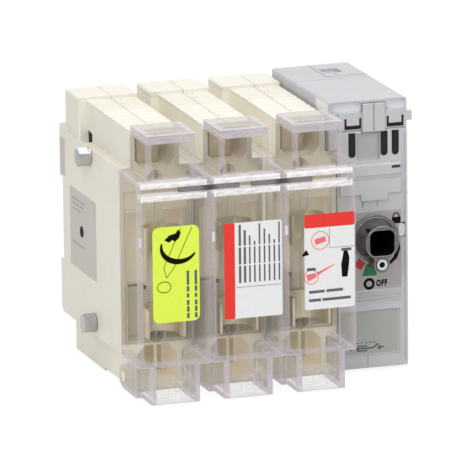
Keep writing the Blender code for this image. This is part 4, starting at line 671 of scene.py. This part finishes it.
signs = bmesh.new()
off_ring = round_points((-0.0023, -0.0195), (0.0019, 0.0019), steps=28)
stop_line = [(0.0106, -0.0020), (0.0107, -0.0052), (0.0093, -0.0090), (0.0056, -0.0126)]
shackle = round_points((0.0097, 0.0080), (0.0014, 0.0019), steps=12, sweep=180.0)
padlock_body = [(0.0079, 0.0068), (0.0117, 0.0068)]
stroke(signs, moved(off_ring, drive_x, drive_z), 0.0012, marks)
stroke(signs, moved(stop_line, drive_x, drive_z), [0.0008, 0.0017, 0.0017, 0.0008], marks)
stroke(signs, moved(shackle, drive_x, drive_z), 0.0005, marks)
stroke(signs, moved(padlock_body, drive_x, drive_z), 0.0027, marks)
finish_piece("drive_signs", signs, ink, "housing")


# The word for off. Printed in the same black ink as the signs, below the drive socket and
# beside the ring, in narrow bold letters.
letters = bpy.data.curves.new("off_word", "FONT")
letters.body = "OFF"
letters.size = 0.0035
letters.space_character = 1.15
letters.extrude = 0.00003
letters.offset = 0.00020
letters.align_x = "CENTER"
letters.align_y = "CENTER"
written = bpy.data.objects.new("off_word", letters)
bpy.context.scene.collection.objects.link(written)
bpy.context.view_layer.update()
word_mesh = bpy.data.meshes.new_from_object(written)
bpy.data.objects.remove(written)
narrow = Matrix.Diagonal((0.72, 1.0, 1.0, 1.0))
word_mesh.transform(Matrix.Translation((drive_x + 0.0032, marks, drive_z - 0.0196))
                    @ Matrix.Rotation(math.pi / 2, 4, "X") @ narrow)
word = bmesh.new()
word.from_mesh(word_mesh)
bmesh.ops.remove_doubles(word, verts=word.verts, dist=0.000001)
finish_piece("off_lettering", word, ink, "housing")


# Symbol plate. A grey label low on the module with the circuit symbol of a switch: the
# contact, a fuse, the break with its ring, and the dashed line of the drive.
plate_print = printed("label_grey_vinyl", tone(172, 173, 170))
label("plate_field", (casing_left + 0.0052, casing_right - 0.0042), (0.0075, 0.0255), face + 0.0005,
      plate_print, "housing", corner=0.0004, thick=0.00015)
symbol = bmesh.new()
symbol_line, symbol_front = 0.0098, face + 0.00035
contact_arm = [(-0.0108, -0.0006), (-0.0096, 0.0), (-0.0074, 0.0)]
fuse_sign = [(-0.0074, -0.0010), (-0.0074, 0.0010), (-0.0034, 0.0010), (-0.0034, -0.0010), (-0.0074, -0.0010)]
near_wire, far_wire = [(-0.0074, 0.0), (-0.0006, 0.0)], [(0.0028, 0.0), (0.0042, 0.0)]
open_arm = [(-0.0006, 0.0), (0.0018, 0.0017)]
for line in (contact_arm, fuse_sign, near_wire, open_arm, far_wire):
    stroke(symbol, moved(line, drive_x, symbol_line), 0.0004, symbol_front)
break_ring = round_points((0.0022, 0.0), (0.0006, 0.0006), steps=12)
stroke(symbol, moved(break_ring, drive_x, symbol_line), 0.0004, symbol_front)
dash_step, dash_length, dash_rise = 0.0019, 0.0011, 0.0024
for dash in range(5):
    dash_line = [(dash * dash_step, dash_rise), (dash * dash_step + dash_length, dash_rise)]
    stroke(symbol, moved(dash_line, drive_x - 0.0080, symbol_line), 0.00025, symbol_front)
finish_piece("switch_symbol", symbol, ink, "housing")


# Dark openings. Painted shadow: nearly black sheets in the module's slots, the slits of the
# strap, the top pocket and the vents of the poles. With them come the thin seam lines on the
# module's face and short brown strips of painted shadow in the fuse channels.
# A nearly black finish for the painted shadow in the openings, and for the plug over the shaft end.
black_and_shadow = moulded("black_fibre", tone(20, 19, 18), tone(12, 12, 12), 0.75, 3000.0, 0.0001)
strap_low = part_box("top_strap")[0].z
openings = bmesh.new()
half_slot, slot_depth = 0.0015, 0.0024
for offset in (-0.0094, 0.0047, 0.0096):
    slot = drive_x + offset
    plate(openings, (slot - half_slot, slot + half_slot), (strap_low - 0.01045, strap_low - 0.00015),
          face + slot_depth, 0.0020, corner=0.0013)
tongue_slits = (((0.0001, 0.0074), (0.0005, 0.0020)), ((0.0001, 0.0009), (0.0021, 0.0050)),
                ((0.0066, 0.0074), (0.0021, 0.0050)))
for offset in (-0.0089, 0.0096):
    tongue_left, tongue_low = drive_x + offset - 0.00375, strap_low + 0.0011
    for x, z in tongue_slits:
        plate(openings, (tongue_left + x[0], tongue_left + x[1]), (tongue_low + z[0], tongue_low + z[1]),
              face + 0.0013, 0.0008, corner=0.0001)
finish_piece("module_linings", openings, black_and_shadow, "housing")

seams = bmesh.new()
for x, low, top, width in ((0.11037, 0.0735, 0.0884, 0.0003), (0.10762, 0.0016, 0.0072, 0.0002),
                           (0.10580, 0.0700, 0.0728, 0.0004), (0.1121, 0.0700, 0.0728, 0.0002)):
    stroke(seams, [(first_pole + x, low), (first_pole + x, top)], width, face - 0.00002)
finish_piece("module_seams", seams, printed("seam_shadow", tone(116, 117, 120)), "housing")

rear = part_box("module_rear_casing")
pocket_left, pocket_front, pocket_floor = drive_x - 0.0014, rear[0].y + 0.0118, rear[1].z - 0.0019
pocket_right, pocket_back = pocket_left + 0.0058, pocket_front + 0.0033
pocket = bmesh.new()
slab(pocket, [(pocket_left, pocket_front, pocket_floor), (pocket_right, pocket_front, pocket_floor),
              (pocket_right, pocket_back, pocket_floor), (pocket_left, pocket_back, pocket_floor)],
     (0.0, 0.0, 0.0004))
finish_piece("pocket_lining", pocket, black_and_shadow, "housing")

vents = bmesh.new()
vent = [(0.0772, 0.0952), (0.0772, 0.0984), (0.0840, 0.0990), (0.0840, 0.0922)]
pole_starts = [first_pole + index * pitch for index in range(3)]
for start in pole_starts:
    wall = start + pitch / 2 - 0.0102
    slab(vents, [(wall, cover_front + y, z) for y, z in vent], (0.0008, 0.0, 0.0))
finish_piece("vent_linings", vents, black_and_shadow, "housing")

# Painted shadow: a short strip and a spot in each fuse channel, for the shade of a small step and a notch
# there.
channel_shade = bmesh.new()
for start in pole_starts:
    for x, z, y in (((0.0037, 0.0080), (0.0446, 0.0455), 0.0272),
                    ((0.0106, 0.0117), (0.0432, 0.0447), 0.0270)):
        plate(channel_shade, (start + x[0], start + x[1]), z, cover_front + y, 0.0004, corner=0.0002)
brown_fibre = moulded("brown_fibre", tone(96, 86, 72), tone(80, 70, 58), 0.7, 3000.0, 0.0001)
finish_piece("channel_stops", channel_shade, brown_fibre, "housing")


# Small marks of the mould on the poles: grey discs of painted shade for four dimples near the back
# of each roof, low cooling ribs across it, the lips that close the seam, and round pips on the left wall.
dots, ribs, pips = bmesh.new(), bmesh.new(), bmesh.new()
panel_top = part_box("pole_left_shell_1")[1].z - 0.0014


def block(bm, middle, size):
    """A small block from its middle and its sizes, added to a bmesh."""
    verts = bmesh.ops.create_cube(bm, size=1.0)["verts"]
    bmesh.ops.scale(bm, vec=size, verts=verts)
    bmesh.ops.translate(bm, vec=middle, verts=verts)


def button(bm, middle, radii, segments):
    """A low round button from its middle and its half sizes, added to a bmesh."""
    verts = bmesh.ops.create_uvsphere(bm, u_segments=segments, v_segments=segments // 2, radius=1.0)["verts"]
    bmesh.ops.scale(bm, vec=radii, verts=verts)
    bmesh.ops.translate(bm, vec=middle, verts=verts)


rib_size, rib_step, lip_width = (0.0096, 0.0007, 0.0003), 0.0028, 0.00029
for start in pole_starts:
    seam = start + pitch / 2
    for x, y in ((0.0172, 0.0834), (0.0195, 0.0828), (0.0171, 0.0745), (0.0185, 0.0742)):
        dot = bmesh.ops.create_circle(dots, cap_ends=True, segments=12, radius=0.00045)["verts"]
        bmesh.ops.translate(dots, vec=(start + x, cover_front + y, panel_top + 0.00002), verts=dot)
    for row in range(8):
        for side in (-1, 1):
            block(ribs, (seam + side * 0.0052, cover_front + 0.0612 + row * rib_step, panel_top), rib_size)
    for y, z in (((0.0262, 0.0842), (0.1080, 0.1103)), ((0.0848, 0.1040), (0.1095, 0.1125)),
                 ((0.0262, 0.0300), (0.0100, 0.0950))):
        block(ribs, (seam, cover_front + (y[0] + y[1]) / 2, (z[0] + z[1]) / 2),
              (lip_width, y[1] - y[0], z[1] - z[0]))
long_edges = [edge for edge in ribs.edges if edge.calc_length() > 0.005]
bmesh.ops.bevel(ribs, geom=long_edges, offset=0.00008, segments=1, profile=0.5, affect="EDGES", material=-1)
# Painted shade: grey discs for the dimples in the roofs.
finish_piece("roof_dimples", dots, rule, "housing")
finish_piece("roof_ribs", ribs, cream, "housing")
for y, z, half_y, half_z in ((0.0476, 0.0708, 0.0010, 0.0030), (0.0268, 0.0660, 0.0008, 0.0010),
                             (0.0758, 0.0319, 0.0010, 0.0010)):
    button(pips, (pole_left, cover_front + y, z), (0.00025, half_y, half_z), 16)
finish_piece("wall_pips", pips, cream, "housing")


# Rating field. A black fibre plug over the end of the cross shaft, in the middle of the
# field, and a few rows of grey ruled lines.
shaft_low, shaft_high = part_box("cross_shaft")
shaft_middle = (shaft_low + shaft_high) / 2
plug = bmesh.new()
button(plug, (pole_left - 0.00005, shaft_middle.y, shaft_middle.z), (0.0005, 0.0025, 0.0025), 24)
finish_piece("shaft_plug", plug, black_and_shadow, "housing")
field = bmesh.new()
field_face = pole_left - 0.0001
word_step, word_length, word_height = 0.0026, 0.0021, 0.0006
for start, end, low in ((0.0735, 0.0920, 0.0690), (0.0755, 0.0920, 0.0668), (0.0800, 0.0920, 0.0646),
                        (0.0735, 0.0930, 0.0502)):
    for index in range(int((end - start) / word_step)):
        front, top = cover_front + start + index * word_step, low + word_height
        back = front + word_length
        corners = ((front, low), (back, low), (back, top), (front, top))
        slab(field, [(field_face, y, z) for y, z in corners], (-0.00004, 0.0, 0.0))
finish_piece("field_lines", field, rule, "housing")


# Cover catches and bosses. A small frosted lug on the left front edge of each cover, for the
# thumb, and a low ring moulded on the front of its foot.
bosses, catches = bmesh.new(), bmesh.new()
for cover in covers:
    plate(catches, (cover[0].x + 0.0001, cover[0].x + 0.0015), (0.0676, 0.0716), cover_front, 0.0006,
          corner=0.0004)
    boss_x = (cover[0].x + cover[1].x) / 2 + 0.0004
    boss = round_points((boss_x, 0.0078), (0.0021, 0.0021), steps=24)
    stroke(bosses, boss, 0.0006, cover_front, thick=0.0004)
finish_piece("cover_bosses", bosses, clear, "fuse_covers")
frosted = moulded("frosted_clear", tone(226, 220, 230), tone(206, 200, 212), 0.25, 2600.0, 0.0002)
finish_piece("cover_catches", catches, frosted, "fuse_covers")
